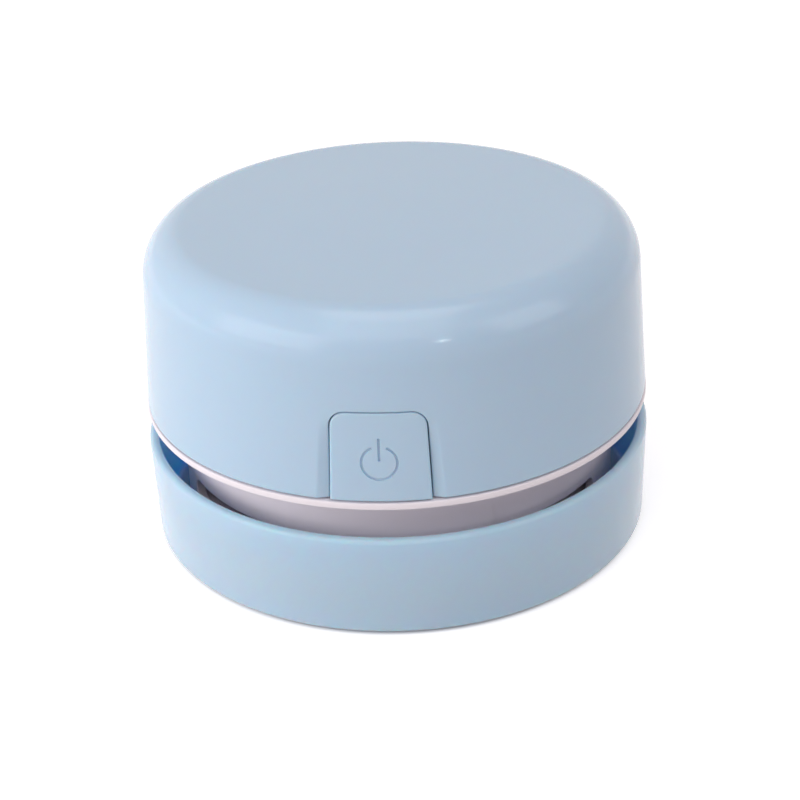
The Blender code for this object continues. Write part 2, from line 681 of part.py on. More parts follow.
def tufts_mesh(name, middle):
    """The tufts of one brush strip, as tapered rods that root in its bar."""
    root = RECESS_CEILING + BRUSH_GROOVE_DEPTH - FIT_GAP - BRUSH_BAR_THICKNESS / 2
    bm = bmesh.new()
    for k in range(TUFTS_PER_STRIP):
        angle = middle + BRUSH_HALF_ANGLE * ((2 * k + 1) / TUFTS_PER_STRIP - 1)
        made = bmesh.ops.create_cone(
            bm,
            cap_ends=True,
            segments=TUFT_SIDES,
            radius1=TUFT_TIP_RADIUS,
            radius2=TUFT_ROOT_RADIUS,
            depth=root - BRUSH_TIP_HEIGHT,
        )["verts"]
        bmesh.ops.translate(bm, verts=made, vec=on_axis(angle, BRUSH_RADIUS, (root + BRUSH_TIP_HEIGHT) / 2))
    return mesh_from(bm, name)


def make_brush_strips():
    top = RECESS_CEILING + BRUSH_GROOVE_DEPTH - FIT_GAP
    for side, middle in (("left", math.radians(-90)), ("right", math.radians(90))):
        name = f"brush_strip_{side}"
        bar = arc_bar_mesh(
            name,
            middle,
            BRUSH_HALF_ANGLE,
            TUFTS_PER_STRIP,
            BRUSH_RADIUS - BRUSH_WIDTH / 2,
            BRUSH_RADIUS + BRUSH_WIDTH / 2,
            top - BRUSH_BAR_THICKNESS,
            top,
        )
        strip = piece(name, bar, "bristle")
        join(strip, tool(f"{name}_tufts", tufts_mesh(name, middle)))


def make_seal_ring():
    centre = CUP_RADIUS - SEAL_GROOVE_DEPTH + FIT_GAP + SEAL_SECTION_RADIUS
    sides = 2 * ROUND_STEPS
    points = []
    for k in range(sides):
        angle = -math.tau * k / sides
        across, up = SEAL_SECTION_RADIUS * math.cos(angle), SEAL_SECTION_RADIUS * math.sin(angle)
        points.append((centre + across, SEAL_HEIGHT + up))
    turned("seal_ring", points, MID_STEPS, "rubber")


def make_filter():
    ledge = FILTER_OPEN_RADIUS + FILTER_LEDGE_WIDTH
    ledge_top = FILTER_BOTTOM + FILTER_LEDGE_THICKNESS
    points = [
        (ledge, FILTER_TOP),
        (FILTER_RADIUS, FILTER_TOP),
        (FILTER_RADIUS, FILTER_BOTTOM),
        (FILTER_OPEN_RADIUS, FILTER_BOTTOM),
        (FILTER_OPEN_RADIUS, ledge_top),
        (ledge, ledge_top),
    ]
    frame = turned("filter_frame", points, BIG_STEPS, "white_plastic")
    reach = FILTER_OPEN_RADIUS + FILTER_LEDGE_WIDTH / 2
    half = FILTER_SPOKE_WIDTH / 2
    along_x = ((-reach, -half, FILTER_BOTTOM), (reach, half, ledge_top))
    for k in range(FILTER_SPOKE_COUNT):
        turn_by = math.radians(180) * k / FILTER_SPOKE_COUNT
        bar = tool(f"filter_spoke_{k + 1}", box_mesh("filter_spoke", *along_x), rotation=(0, 0, turn_by))
        join(frame, bar)
    mesh_bottom = ledge_top + FIT_GAP
    mesh_points = [
        (0, mesh_bottom + FILTER_MESH_THICKNESS),
        (ledge - FIT_GAP, mesh_bottom + FILTER_MESH_THICKNESS),
        (ledge - FIT_GAP, mesh_bottom),
        (0, mesh_bottom),
    ]
    turned("filter_mesh", mesh_points, MID_STEPS, "filter_cloth")


def slot_mesh(name, middle):
    """A cutter for one exhaust slot: a bent bar with round ends."""
    half_height = SLOT_HEIGHT / 2
    centre = SLOT_TOP - half_height
    end_angle = half_height / SKIRT_RADIUS
    inner, outer = SKIRT_INNER - OVERRUN, SKIRT_RADIUS + OVERRUN
    places = []
    for k in range(ROUND_STEPS):
        share = math.sin(math.radians(90) * (k + 0.5) / ROUND_STEPS)
        places.append((-SLOT_HALF_ANGLE + end_angle * (1 - math.sqrt(1 - share**2)), half_height * share))
    straight = SLOT_HALF_ANGLE - end_angle
    places += [(straight * (2 * k / SLOT_COLUMNS - 1), half_height) for k in range(SLOT_COLUMNS + 1)]
    places += [(-angle, height) for angle, height in reversed(places[:ROUND_STEPS])]
    sections = []
    for angle, height in places:
        corners = ((inner, -height), (outer, -height), (outer, height), (inner, height))
        sections.append([on_axis(middle + angle, radius, centre + up) for radius, up in corners])
    return lofted_mesh(name, sections)


def make_chassis(body):
    collar_inner = COLLAR_RADIUS - COLLAR_WALL
    collar_top = BAND_TOP + COLLAR_HEIGHT
    ledge_top = DECK_BOTTOM - FIT_GAP
    points = [
        (collar_inner, collar_top),
        (COLLAR_RADIUS, collar_top),
        (COLLAR_RADIUS, BAND_TOP),
        (BAND_RADIUS - BAND_CHAMFER, BAND_TOP),
        (BAND_RADIUS, BAND_TOP - BAND_CHAMFER),
        (BAND_RADIUS, BAND_BOTTOM + BAND_CHAMFER),
        (BAND_RADIUS - BAND_CHAMFER, BAND_BOTTOM),
        (SKIRT_RADIUS, BAND_BOTTOM),
        (SKIRT_RADIUS, SKIRT_BOTTOM),
        (SKIRT_INNER, SKIRT_BOTTOM),
        (SKIRT_INNER, ledge_top - LEDGE_THICKNESS),
        (SKIRT_INNER - LEDGE_WIDTH, ledge_top - LEDGE_THICKNESS),
        (SKIRT_INNER - LEDGE_WIDTH, ledge_top),
        (SKIRT_INNER, ledge_top),
        (SKIRT_INNER, BAND_TOP),
        (collar_inner, BAND_TOP),
    ]
    chassis = turned("chassis", points, BIG_STEPS, "white_plastic", body)
    for k in range(SLOT_COUNT):
        middle = SLOT_CENTRE_ANGLE + math.tau * k / SLOT_COUNT
        cut(chassis, tool(f"exhaust_slot_{k + 1}", slot_mesh("exhaust_slot", middle)))
    low = (-BUTTON_NOTCH_HALF, -COLLAR_RADIUS - OVERRUN, BAND_TOP)
    high = (BUTTON_NOTCH_HALF, -collar_inner + 2 * OVERRUN, collar_top + OVERRUN)
    cut(chassis, tool("collar_notch", box_mesh("collar_notch", low, high)))


def post_places():
    """x, y and top of each screw post on the deck."""
    return [
        (-TRAY_SCREW_OFFSET, 0, TRAY_BOTTOM - FIT_GAP),
        (TRAY_SCREW_OFFSET, 0, TRAY_BOTTOM - FIT_GAP),
        (0, -CLAMP_SCREW_OFFSET, CLAMP_BOTTOM - FIT_GAP),
        (0, CLAMP_SCREW_OFFSET, CLAMP_BOTTOM - FIT_GAP),
        (-BOARD_SCREW_X, -BOARD_SCREW_Y, BOARD_BOTTOM - FIT_GAP),
        (BOARD_SCREW_X, -BOARD_SCREW_Y, BOARD_BOTTOM - FIT_GAP),
        (-GUIDE_SCREW_X, -GUIDE_SCREW_Y, GUIDE_BOTTOM - FIT_GAP),
        (GUIDE_SCREW_X, -GUIDE_SCREW_Y, GUIDE_BOTTOM - FIT_GAP),
    ]


def make_motor_deck(body):
    seat_inner = MOTOR_RADIUS + FIT_GAP
    seat_outer = seat_inner + MOTOR_SEAT_WALL
    seat_top = DECK_TOP + MOTOR_SEAT_HEIGHT
    points = [
        (seat_inner, seat_top),
        (seat_outer, seat_top),
        (seat_outer, DECK_TOP),
        (DECK_RADIUS, DECK_TOP),
        (DECK_RADIUS, DECK_BOTTOM),
        (DECK_HOLE_RADIUS, DECK_BOTTOM),
        (DECK_HOLE_RADIUS, DECK_TOP),
        (seat_inner, DECK_TOP),
    ]
    deck = turned("motor_deck", points, BIG_STEPS, "white_plastic", body)
    root = DECK_TOP - DECK_THICKNESS / 2
    posts = [(x, y, POST_RADIUS, root, top) for x, y, top in post_places()]
    pilots = [(x, y, PILOT_RADIUS, top - PILOT_DEPTH, top + OVERRUN) for x, y, top in post_places()]
    join(deck, tool("posts", rods_mesh("posts", posts, SCREW_STEPS)))
    cut(deck, tool("pilot_holes", rods_mesh("pilot_holes", pilots, SCREW_STEPS)))


def make_fan_inlet(body):
    radius = SKIRT_INNER - FIT_GAP
    lip = FAN_EYE_RADIUS - INLET_PLATE_THICKNESS
    points = [
        (lip, INLET_TOP),
        (radius, INLET_TOP),
        (radius, INLET_BOTTOM),
        (FAN_EYE_RADIUS, INLET_BOTTOM),
    ]
    turned("fan_inlet_plate", points, MID_STEPS, "white_plastic", body)


def blades_mesh(name, bottom, top):
    """Backward-curved blades, each a bent strip."""
    bm = bmesh.new()
    half = BLADE_THICKNESS / 2
    for number in range(BLADE_COUNT):
        start = math.tau * number / BLADE_COUNT
        middle = []
        for k in range(BLADE_STEPS + 1):
            share = k / BLADE_STEPS
            radius = BLADE_START_RADIUS + (FAN_RADIUS - half - BLADE_START_RADIUS) * share
            middle.append(Vector(on_axis(start - BLADE_SWEEP * share, radius, bottom)))
        left, right = [], []
        for k, point in enumerate(middle):
            along = (middle[min(k + 1, BLADE_STEPS)] - middle[max(k - 1, 0)]).normalized()
            across = Vector((-along.y, along.x, 0)) * half
            left.append(point + across)
            right.append(point - across)
        face = bm.faces.new([bm.verts.new(point) for point in [*left, *reversed(right)]])
        side = bmesh.ops.extrude_face_region(bm, geom=[face])["geom"]
        moved = [item for item in side if isinstance(item, bmesh.types.BMVert)]
        bmesh.ops.translate(bm, verts=moved, vec=(0, 0, top - bottom))
    bmesh.ops.recalc_face_normals(bm, faces=bm.faces)
    return mesh_from(bm, name)


def make_rotor(rotor):
    fan_top = DECK_BOTTOM - FAN_DECK_GAP
    disc_bottom = fan_top - FAN_DISC_THICKNESS
    shaft_bottom = DECK_BOTTOM - SHAFT_BELOW_DECK
    bore = SHAFT_RADIUS + PRESS_GAP
    hub_bottom = shaft_bottom + FIT_GAP
    points = [
        (bore, fan_top),
        (FAN_RADIUS, fan_top),
        (FAN_RADIUS, disc_bottom),
        (FAN_HUB_RADIUS, disc_bottom),
        (FAN_HUB_RADIUS, hub_bottom),
        (bore, hub_bottom),
    ]
    impeller = turned("impeller", points, MID_STEPS, "white_plastic", rotor)
    blade_top = disc_bottom + FAN_DISC_THICKNESS / 2
    blades = blades_mesh("blades", INLET_TOP + BLADE_GAP, blade_top)
    join(impeller, tool("blades", blades))

    shaft_top = MOTOR_TOP + SHAFT_ABOVE_CAN
    shaft = [(0, shaft_top), (SHAFT_RADIUS, shaft_top), (SHAFT_RADIUS, shaft_bottom), (0, shaft_bottom)]
    turned("motor_shaft", shaft, SMALL_STEPS, "steel", rotor)

    bottom = MOTOR_BOTTOM + CAN_WALL + ARMATURE_ABOVE_CAN_FLOOR
    end_cap_bottom = MOTOR_TOP - FIT_GAP - END_CAP_THICKNESS
    top = end_cap_bottom - COMMUTATOR_BELOW_END_CAP - COMMUTATOR_HEIGHT - FIT_GAP
    core = [(bore, top), (ARMATURE_RADIUS, top), (ARMATURE_RADIUS, bottom), (bore, bottom)]
    armature = turned("armature", core, 3 * SCREW_STEPS, "dark_steel", rotor)
    low = (ARMATURE_CORE_RADIUS, -ARMATURE_SLOT / 2, bottom - OVERRUN)
    high = (ARMATURE_RADIUS + OVERRUN, ARMATURE_SLOT / 2, top + OVERRUN)
    for k in range(ARMATURE_POLES):
        turn_by = math.tau * k / ARMATURE_POLES
        slot = tool(f"armature_slot_{k + 1}", box_mesh("armature_slot", low, high), rotation=(0, 0, turn_by))
        cut(armature, slot)

    bottom = top + FIT_GAP
    top = bottom + COMMUTATOR_HEIGHT
    ring = [(bore, top), (COMMUTATOR_RADIUS, top), (COMMUTATOR_RADIUS, bottom), (bore, bottom)]
    turned("commutator", ring, SMALL_STEPS, "copper", rotor)


def make_motor(body):
    inner = MOTOR_RADIUS - CAN_WALL
    hole = BUSH_RADIUS + FIT_GAP
    can = [
        (inner, MOTOR_TOP),
        (MOTOR_RADIUS, MOTOR_TOP),
        (MOTOR_RADIUS, MOTOR_BOTTOM),
        (hole, MOTOR_BOTTOM),
        (hole, MOTOR_BOTTOM + CAN_WALL),
        (inner, MOTOR_BOTTOM + CAN_WALL),
    ]
    turned("motor_can", can, MID_STEPS, "steel", body)
    outer = inner - FIT_GAP
    bottom = MOTOR_BOTTOM + CAN_WALL + FIT_GAP
    cap_top = MOTOR_TOP - FIT_GAP
    cap_bottom = cap_top - END_CAP_THICKNESS
    top = cap_bottom - FIT_GAP
    magnet_inner = outer - MAGNET_WALL
    magnet = [(magnet_inner, top), (outer, top), (outer, bottom), (magnet_inner, bottom)]
    turned("motor_magnet", magnet, MID_STEPS, "dark_steel", body)

    bore = SHAFT_RADIUS + PRESS_GAP
    middle = MOTOR_BOTTOM + CAN_WALL / 2
    high, low = middle + BUSH_LENGTH / 2, middle - BUSH_LENGTH / 2
    turned("motor_bush", [(bore, high), (BUSH_RADIUS, high), (BUSH_RADIUS, low), (bore, low)],
           SMALL_STEPS, "brass", body)

    cap = [(bore, cap_top), (outer, cap_top), (outer, cap_bottom), (bore, cap_bottom)]
    turned("motor_end_cap", cap, MID_STEPS, "black_plastic", body)
    for side, sign in (("left", -1), ("right", 1)):
        centre = sign * TERMINAL_OFFSET
        low = (centre - TERMINAL_THICKNESS / 2, -TERMINAL_WIDTH / 2, cap_top + FIT_GAP)
        high = (centre + TERMINAL_THICKNESS / 2, TERMINAL_WIDTH / 2, cap_top + TERMINAL_HEIGHT)
        name = f"motor_terminal_{side}"
        piece(name, box_mesh(name, low, high), "brass", body)


def make_motor_clamp(body):
    low = (-CLAMP_WIDTH / 2, -CLAMP_HALF_LENGTH, CLAMP_BOTTOM)
    high = (CLAMP_WIDTH / 2, CLAMP_HALF_LENGTH, CLAMP_TOP)
    clamp = piece("motor_clamp", box_mesh("motor_clamp", low, high), "steel", body)
    bottom, top = CLAMP_BOTTOM - OVERRUN, CLAMP_TOP + OVERRUN
    holes = [(0, side * CLAMP_SCREW_OFFSET, SCREW_HOLE_RADIUS, bottom, top) for side in (-1, 1)]
    holes.append((0, 0, CLAMP_HOLE_RADIUS, bottom, top))
    cut(clamp, tool("clamp_holes", rods_mesh("clamp_holes", holes, SCREW_STEPS)))
    screw("clamp_screw_front", 0, -CLAMP_SCREW_OFFSET, CLAMP_TOP, body)
    screw("clamp_screw_back", 0, CLAMP_SCREW_OFFSET, CLAMP_TOP, body)


def make_battery_tray(body):
    high_z = TRAY_FLOOR_TOP + TRAY_WALL_HEIGHT
    low = (-TRAY_HALF_LENGTH, -TRAY_HALF_WIDTH, TRAY_BOTTOM)
    high = (TRAY_HALF_LENGTH, TRAY_HALF_WIDTH, high_z)
    tray = piece("battery_tray", box_mesh("battery_tray", low, high), "white_plastic", body)
    inner_length = TRAY_HALF_LENGTH - TRAY_WALL
    inner_width = TRAY_HALF_WIDTH - TRAY_WALL
    low = (-inner_length, -inner_width, TRAY_FLOOR_TOP)
    high = (inner_length, inner_width, high_z + OVERRUN)
    cut(tray, tool("tray_hollow", box_mesh("tray_hollow", low, high)))
    low = (-TRAY_RIB_HALF_LENGTH, -TRAY_RIB_WIDTH / 2, TRAY_FLOOR_TOP - TRAY_FLOOR / 2)
    high = (TRAY_RIB_HALF_LENGTH, TRAY_RIB_WIDTH / 2, TRAY_FLOOR_TOP + TRAY_RIB_HEIGHT)
    join(tray, tool("tray_rib", box_mesh("tray_rib", low, high)))
    bottom, top = TRAY_BOTTOM - OVERRUN, TRAY_FLOOR_TOP + OVERRUN
    holes = [(side * TRAY_SCREW_OFFSET, 0, SCREW_HOLE_RADIUS, bottom, top) for side in (-1, 1)]
    cut(tray, tool("tray_screw_holes", rods_mesh("tray_screw_holes", holes, SCREW_STEPS)))
    slots = []
    for side in (-1, 1):
        middle = CONTACT_FACE + CONTACT_THICKNESS / 2
        half = CONTACT_THICKNESS / 2 + FIT_GAP
        slots.append((
            (middle - half, side * CELL_OFFSET - TAB_WIDTH / 2 - FIT_GAP, bottom),
            (middle + half - PRESS_GAP, side * CELL_OFFSET + TAB_WIDTH / 2 + FIT_GAP, top),
        ))
    cut(tray, tool("tab_slots", boxes_mesh("tab_slots", slots)))
    screw("tray_screw_left", -TRAY_SCREW_OFFSET, 0, TRAY_FLOOR_TOP, body)
    screw("tray_screw_right", TRAY_SCREW_OFFSET, 0, TRAY_FLOOR_TOP, body)


def make_cells(body):
    """Each cell's flat end faces the spring, and its nub the plate at the other end."""
    length = CELL_LENGTH - CELL_NUB_LENGTH
    points = [
        (0, CELL_LENGTH),
        (CELL_NUB_RADIUS, CELL_LENGTH),
        (CELL_NUB_RADIUS, length),
        (CELL_RADIUS - CELL_EDGE, length),
        (CELL_RADIUS, length - CELL_EDGE),
        (CELL_RADIUS, CELL_EDGE),
        (CELL_RADIUS - CELL_EDGE, 0),
        (0, 0),
    ]
    flat_end = CONTACT_FACE - CONTACT_SPACE
    quarter = math.radians(90)
    turned("battery_front", points, MID_STEPS, "cell_sleeve", body,
           (flat_end, -CELL_OFFSET, CELL_AXIS_HEIGHT), (0, -quarter, 0))
    turned("battery_back", points, MID_STEPS, "cell_sleeve", body,
           (-flat_end, CELL_OFFSET, CELL_AXIS_HEIGHT), (0, quarter, 0))


def make_contacts(body):
    bottom = TRAY_FLOOR_TOP + FIT_GAP
    top = bottom + CONTACT_HEIGHT
    near, far = CONTACT_FACE, CONTACT_FACE + CONTACT_THICKNESS
    reach = CELL_OFFSET + CONTACT_WIDTH / 2
    bridge = box_mesh("bridge_contact", (-far, -reach, bottom), (-near, reach, top))
    piece("bridge_contact", bridge, "steel", body)
    for name, side in (("negative_contact", -1), ("positive_contact", 1)):
        middle = side * CELL_OFFSET
        low = (near, middle - CONTACT_WIDTH / 2, bottom)
        high = (far, middle + CONTACT_WIDTH / 2, top)
        contact = piece(name, box_mesh(name, low, high), "steel", body)
        low = (near, middle - TAB_WIDTH / 2, TRAY_BOTTOM - TAB_DROP)
        high = (far, middle + TAB_WIDTH / 2, bottom + OVERRUN)
        join(contact, tool(f"{name}_tab", box_mesh(name, low, high)))
    room = CONTACT_SPACE - 2 * FIT_GAP - 2 * CELL_SPRING_WIRE_RADIUS
    for name, side in (("battery_spring_front", 1), ("battery_spring_back", -1)):
        points = []
        count = CELL_SPRING_TURNS * SPRING_POINTS
        for k in range(count + 1):
            share = k / count
            angle = math.tau * CELL_SPRING_TURNS * share
            radius = CELL_SPRING_FOOT_RADIUS + (CELL_SPRING_TOP_RADIUS - CELL_SPRING_FOOT_RADIUS) * share
            x = side * (near - FIT_GAP - CELL_SPRING_WIRE_RADIUS - room * share)
            y = -side * CELL_OFFSET + radius * math.cos(angle)
            points.append((x, y, CELL_AXIS_HEIGHT + radius * math.sin(angle)))
        tube(name, points, CELL_SPRING_WIRE_RADIUS, "steel", body)


def make_switch(body, plunger_body):
    back = -(BOARD_FRONT - BOARD_WIDTH)
    low = (-BOARD_LENGTH / 2, -BOARD_FRONT, BOARD_BOTTOM)
    high = (BOARD_LENGTH / 2, back, BOARD_TOP)
    board = piece("switch_board", box_mesh("switch_board", low, high), "board", body)
    bottom, top = BOARD_BOTTOM - OVERRUN, BOARD_TOP + OVERRUN
    holes = [(side * BOARD_SCREW_X, -BOARD_SCREW_Y, SCREW_HOLE_RADIUS, bottom, top) for side in (-1, 1)]
    cut(board, tool("board_holes", rods_mesh("board_holes", holes, SCREW_STEPS)))
    screw("board_screw_left", -BOARD_SCREW_X, -BOARD_SCREW_Y, BOARD_TOP, body)
    screw("board_screw_right", BOARD_SCREW_X, -BOARD_SCREW_Y, BOARD_TOP, body)

    low = (-SWITCH_WIDTH / 2, -SWITCH_FRONT, BOARD_TOP + FIT_GAP)
    high = (SWITCH_WIDTH / 2, -SWITCH_FRONT + SWITCH_LENGTH, BOARD_TOP + FIT_GAP + SWITCH_HEIGHT - FIT_GAP)
    switch = piece("switch_body", box_mesh("switch_body", low, high), "black_plastic", body)
    half = PLUNGER_SIDE / 2
    plunger_back = -PLUNGER_TIP + PLUNGER_LENGTH
    hole = half + FIT_GAP
    low = (-hole, -SWITCH_FRONT - OVERRUN, STEM_HEIGHT - hole)
    high = (hole, plunger_back + BUTTON_TRAVEL + FIT_GAP, STEM_HEIGHT + hole)
    cut(switch, tool("plunger_hole", box_mesh("plunger_hole", low, high)))
    low = (-half, -PLUNGER_TIP, STEM_HEIGHT - half)
    high = (half, plunger_back, STEM_HEIGHT + half)
    piece("switch_plunger", box_mesh("switch_plunger", low, high), "white_plastic", plunger_body)


def make_button_guide(body):
    outer = -GUIDE_FACE_RADIUS
    low = (-GUIDE_HALF_WIDTH, outer, GUIDE_BOTTOM)
    high = (GUIDE_HALF_WIDTH, outer + GUIDE_THICKNESS, GUIDE_TOP)
    guide = piece("button_guide", box_mesh("button_guide", low, high), "white_plastic", body)
    foot_top = GUIDE_BOTTOM + GUIDE_FOOT_THICKNESS
    high = (GUIDE_HALF_WIDTH, outer + GUIDE_FOOT_REACH, foot_top)
    low = (-GUIDE_HALF_WIDTH, outer + GUIDE_THICKNESS / 2, GUIDE_BOTTOM)
    join(guide, tool("guide_foot", box_mesh("guide_foot", low, high)))
    holes = [
        (side * GUIDE_SCREW_X, -GUIDE_SCREW_Y, SCREW_HOLE_RADIUS, GUIDE_BOTTOM - OVERRUN, foot_top + OVERRUN)
        for side in (-1, 1)
    ]
    cut(guide, tool("guide_holes", rods_mesh("guide_holes", holes, SCREW_STEPS)))
    reach = GUIDE_THICKNESS + OVERRUN
    bore = [(0, reach), (STEM_RADIUS + PRESS_GAP, reach), (STEM_RADIUS + PRESS_GAP, -OVERRUN), (0, -OVERRUN)]
    place = (0, outer, STEM_HEIGHT)
    cut(guide, turned_tool("stem_bore", bore, SMALL_STEPS, place, (math.radians(-90), 0, 0)))
    screw("guide_screw_left", -GUIDE_SCREW_X, -GUIDE_SCREW_Y, foot_top, body)
    screw("guide_screw_right", GUIDE_SCREW_X, -GUIDE_SCREW_Y, foot_top, body)


def mark_stroke_mesh(name, places):
    """A cutter that follows places on the button's face, given as distance across and height."""
    sections = []
    count = len(places)
    for k, (across, height) in enumerate(places):
        before, after = places[max(k - 1, 0)], places[min(k + 1, count - 1)]
        along = Vector((after[0] - before[0], after[1] - before[1])).normalized() * MARK_LINE / 2
        section = []
        for side, depth in ((1, MARK_DEPTH), (1, -OVERRUN), (-1, -OVERRUN), (-1, MARK_DEPTH)):
            u, v = across - side * along.y, height + side * along.x
            radius = cap_radius(v)
            section.append(on_axis(u / radius, radius - depth, v))
        sections.append(section)
    return lofted_mesh(name, sections)


def make_button(body, button):
    bottom = BAND_TOP + FIT_GAP
    half_angle = BUTTON_WIDTH_LOW / CAP_HEEL_RADIUS
    heights = [bottom - OVERRUN, BUTTON_TOP + OVERRUN]
    sections = []
    for k in range(2 * ROUND_STEPS + 1):
        angle = half_angle * (k / ROUND_STEPS - 1)
        outer = [(cap_radius(height), height) for height in heights]
        inner = [(radius - BUTTON_THICKNESS, height) for radius, height in reversed(outer)]
        sections.append([on_axis(angle, radius, height) for radius, height in [*outer, *inner]])
    plate = piece("power_button", lofted_mesh("power_button", sections), "blue_gloss", button)
    outline = prism_mesh("button_outline", button_outline(0, bottom), -CAP_HEEL_RADIUS - OVERRUN, 0)
    boolean(plate, tool("button_outline", outline), "INTERSECT")

    length = cap_radius(STEM_HEIGHT) - BUTTON_THICKNESS / 2 - STEM_END
    stem = [(0, length), (STEM_RADIUS, length), (STEM_RADIUS, 0), (0, 0)]
    place = (0, -STEM_END, STEM_HEIGHT)
    join(plate, turned_tool("button_stem", stem, SMALL_STEPS, place, (math.radians(90), 0, 0)))

    circle = []
    for k in range(MARK_STEPS + 1):
        angle = MARK_GAP_HALF_ANGLE + (math.tau - 2 * MARK_GAP_HALF_ANGLE) * k / MARK_STEPS
        circle.append((MARK_RADIUS * math.sin(angle), MARK_CENTRE_HEIGHT + MARK_RADIUS * math.cos(angle)))
    cut(plate, tool("mark_circle", mark_stroke_mesh("mark_circle", circle)))
    bar_top = MARK_CENTRE_HEIGHT + MARK_RADIUS + MARK_BAR_TOP
    bar = [(0, bar_top), (0, bar_top - MARK_BAR_LENGTH)]
    cut(plate, tool("mark_bar", mark_stroke_mesh("mark_bar", bar)))

    clip_inner = STEM_RADIUS + PRESS_GAP
    clip = [(clip_inner, CLIP_THICKNESS), (CLIP_RADIUS, CLIP_THICKNESS), (CLIP_RADIUS, 0), (clip_inner, 0)]
    behind_guide = -GUIDE_FACE_RADIUS + GUIDE_THICKNESS + FIT_GAP
    turned("button_clip", clip, SMALL_STEPS, "steel", button,
           (0, behind_guide, STEM_HEIGHT), (math.radians(-90), 0, 0))

    front = -(cap_radius(STEM_HEIGHT) - BUTTON_THICKNESS - FIT_GAP - SPRING_WIRE_RADIUS)
    back = -(GUIDE_FACE_RADIUS + FIT_GAP + SPRING_WIRE_RADIUS)
    points = []
    count = SPRING_TURNS * SPRING_POINTS
    for k in range(count + 1):
        angle = math.tau * SPRING_TURNS * k / count
        y = back + (front - back) * k / count
        across, up = SPRING_COIL_RADIUS * math.cos(angle), SPRING_COIL_RADIUS * math.sin(angle)
        points.append((across, y, STEM_HEIGHT + up))
    tube("button_spring", points, SPRING_WIRE_RADIUS, "steel", body)


def scoop_mesh(name, sign):
    """A cutter for the hollow beside the button: deep at the notch, and fading out upwards."""
    sections = []
    for k in range(SCOOP_STEPS + 1):
        share = k / SCOOP_STEPS
        height = CAP_BOTTOM - OVERRUN + (SCOOP_TOP - CAP_BOTTOM + OVERRUN) * share
        left = 1 - share
        edge = BUTTON_NOTCH_HALF + (BUTTON_WIDTH_HIGH - BUTTON_WIDTH_LOW) / 2 * share
        radius = cap_radius(height)
        far = edge + SCOOP_WIDTH * left + PRESS_GAP
        near = edge - OVERRUN
        corners = (
            (far, radius),
            (near, radius - SCOOP_DEPTH * left),
            (near, radius + OVERRUN),
            (far, radius + OVERRUN),
        )
        sections.append([on_axis(sign * across / radius, out, height) for across, out in corners])
    return lofted_mesh(name, sections)


def make_cap(cap_body):
    slope = (CAP_HEEL_RADIUS - CAP_SHOULDER_RADIUS) / (SHOULDER_BOTTOM - CAP_BOTTOM)
    centre = (CAP_SHOULDER_RADIUS - SHOULDER_ACROSS, SHOULDER_BOTTOM)
    inner_shoulder = CAP_SHOULDER_RADIUS - CAP_WALL
    inner_across, inner_down = SHOULDER_ACROSS - CAP_WALL, SHOULDER_DOWN - CAP_WALL
    points = [
        (0, TOTAL_HEIGHT),
        (centre[0] / 2, TOTAL_HEIGHT - CAP_DOME / 4),
        *rounded(centre, SHOULDER_ACROSS, SHOULDER_DOWN, 1, 0, SHOULDER_STEPS),
        (CAP_HEEL_RADIUS, CAP_BOTTOM),
        (CAP_INNER_HEEL, CAP_BOTTOM),
        (inner_shoulder, SHOULDER_BOTTOM),
        *rounded(centre, inner_across, inner_down, 0, 1, SHOULDER_STEPS // 2)[1:],
        (0, SHOULDER_BOTTOM + inner_down),
    ]
    cap = turned("cap", points, BIG_STEPS, "blue_gloss", cap_body)
    notch = prism_mesh(
        "button_notch",
        button_outline(FIT_GAP, CAP_BOTTOM - OVERRUN),
        -CAP_HEEL_RADIUS - OVERRUN,
        -CAP_INNER_HEEL + 4 * CAP_WALL,
    )
    cut(cap, tool("button_notch", notch))
    for side, sign in (("left", -1), ("right", 1)):
        cut(cap, tool(f"scoop_{side}", scoop_mesh("scoop", sign)))


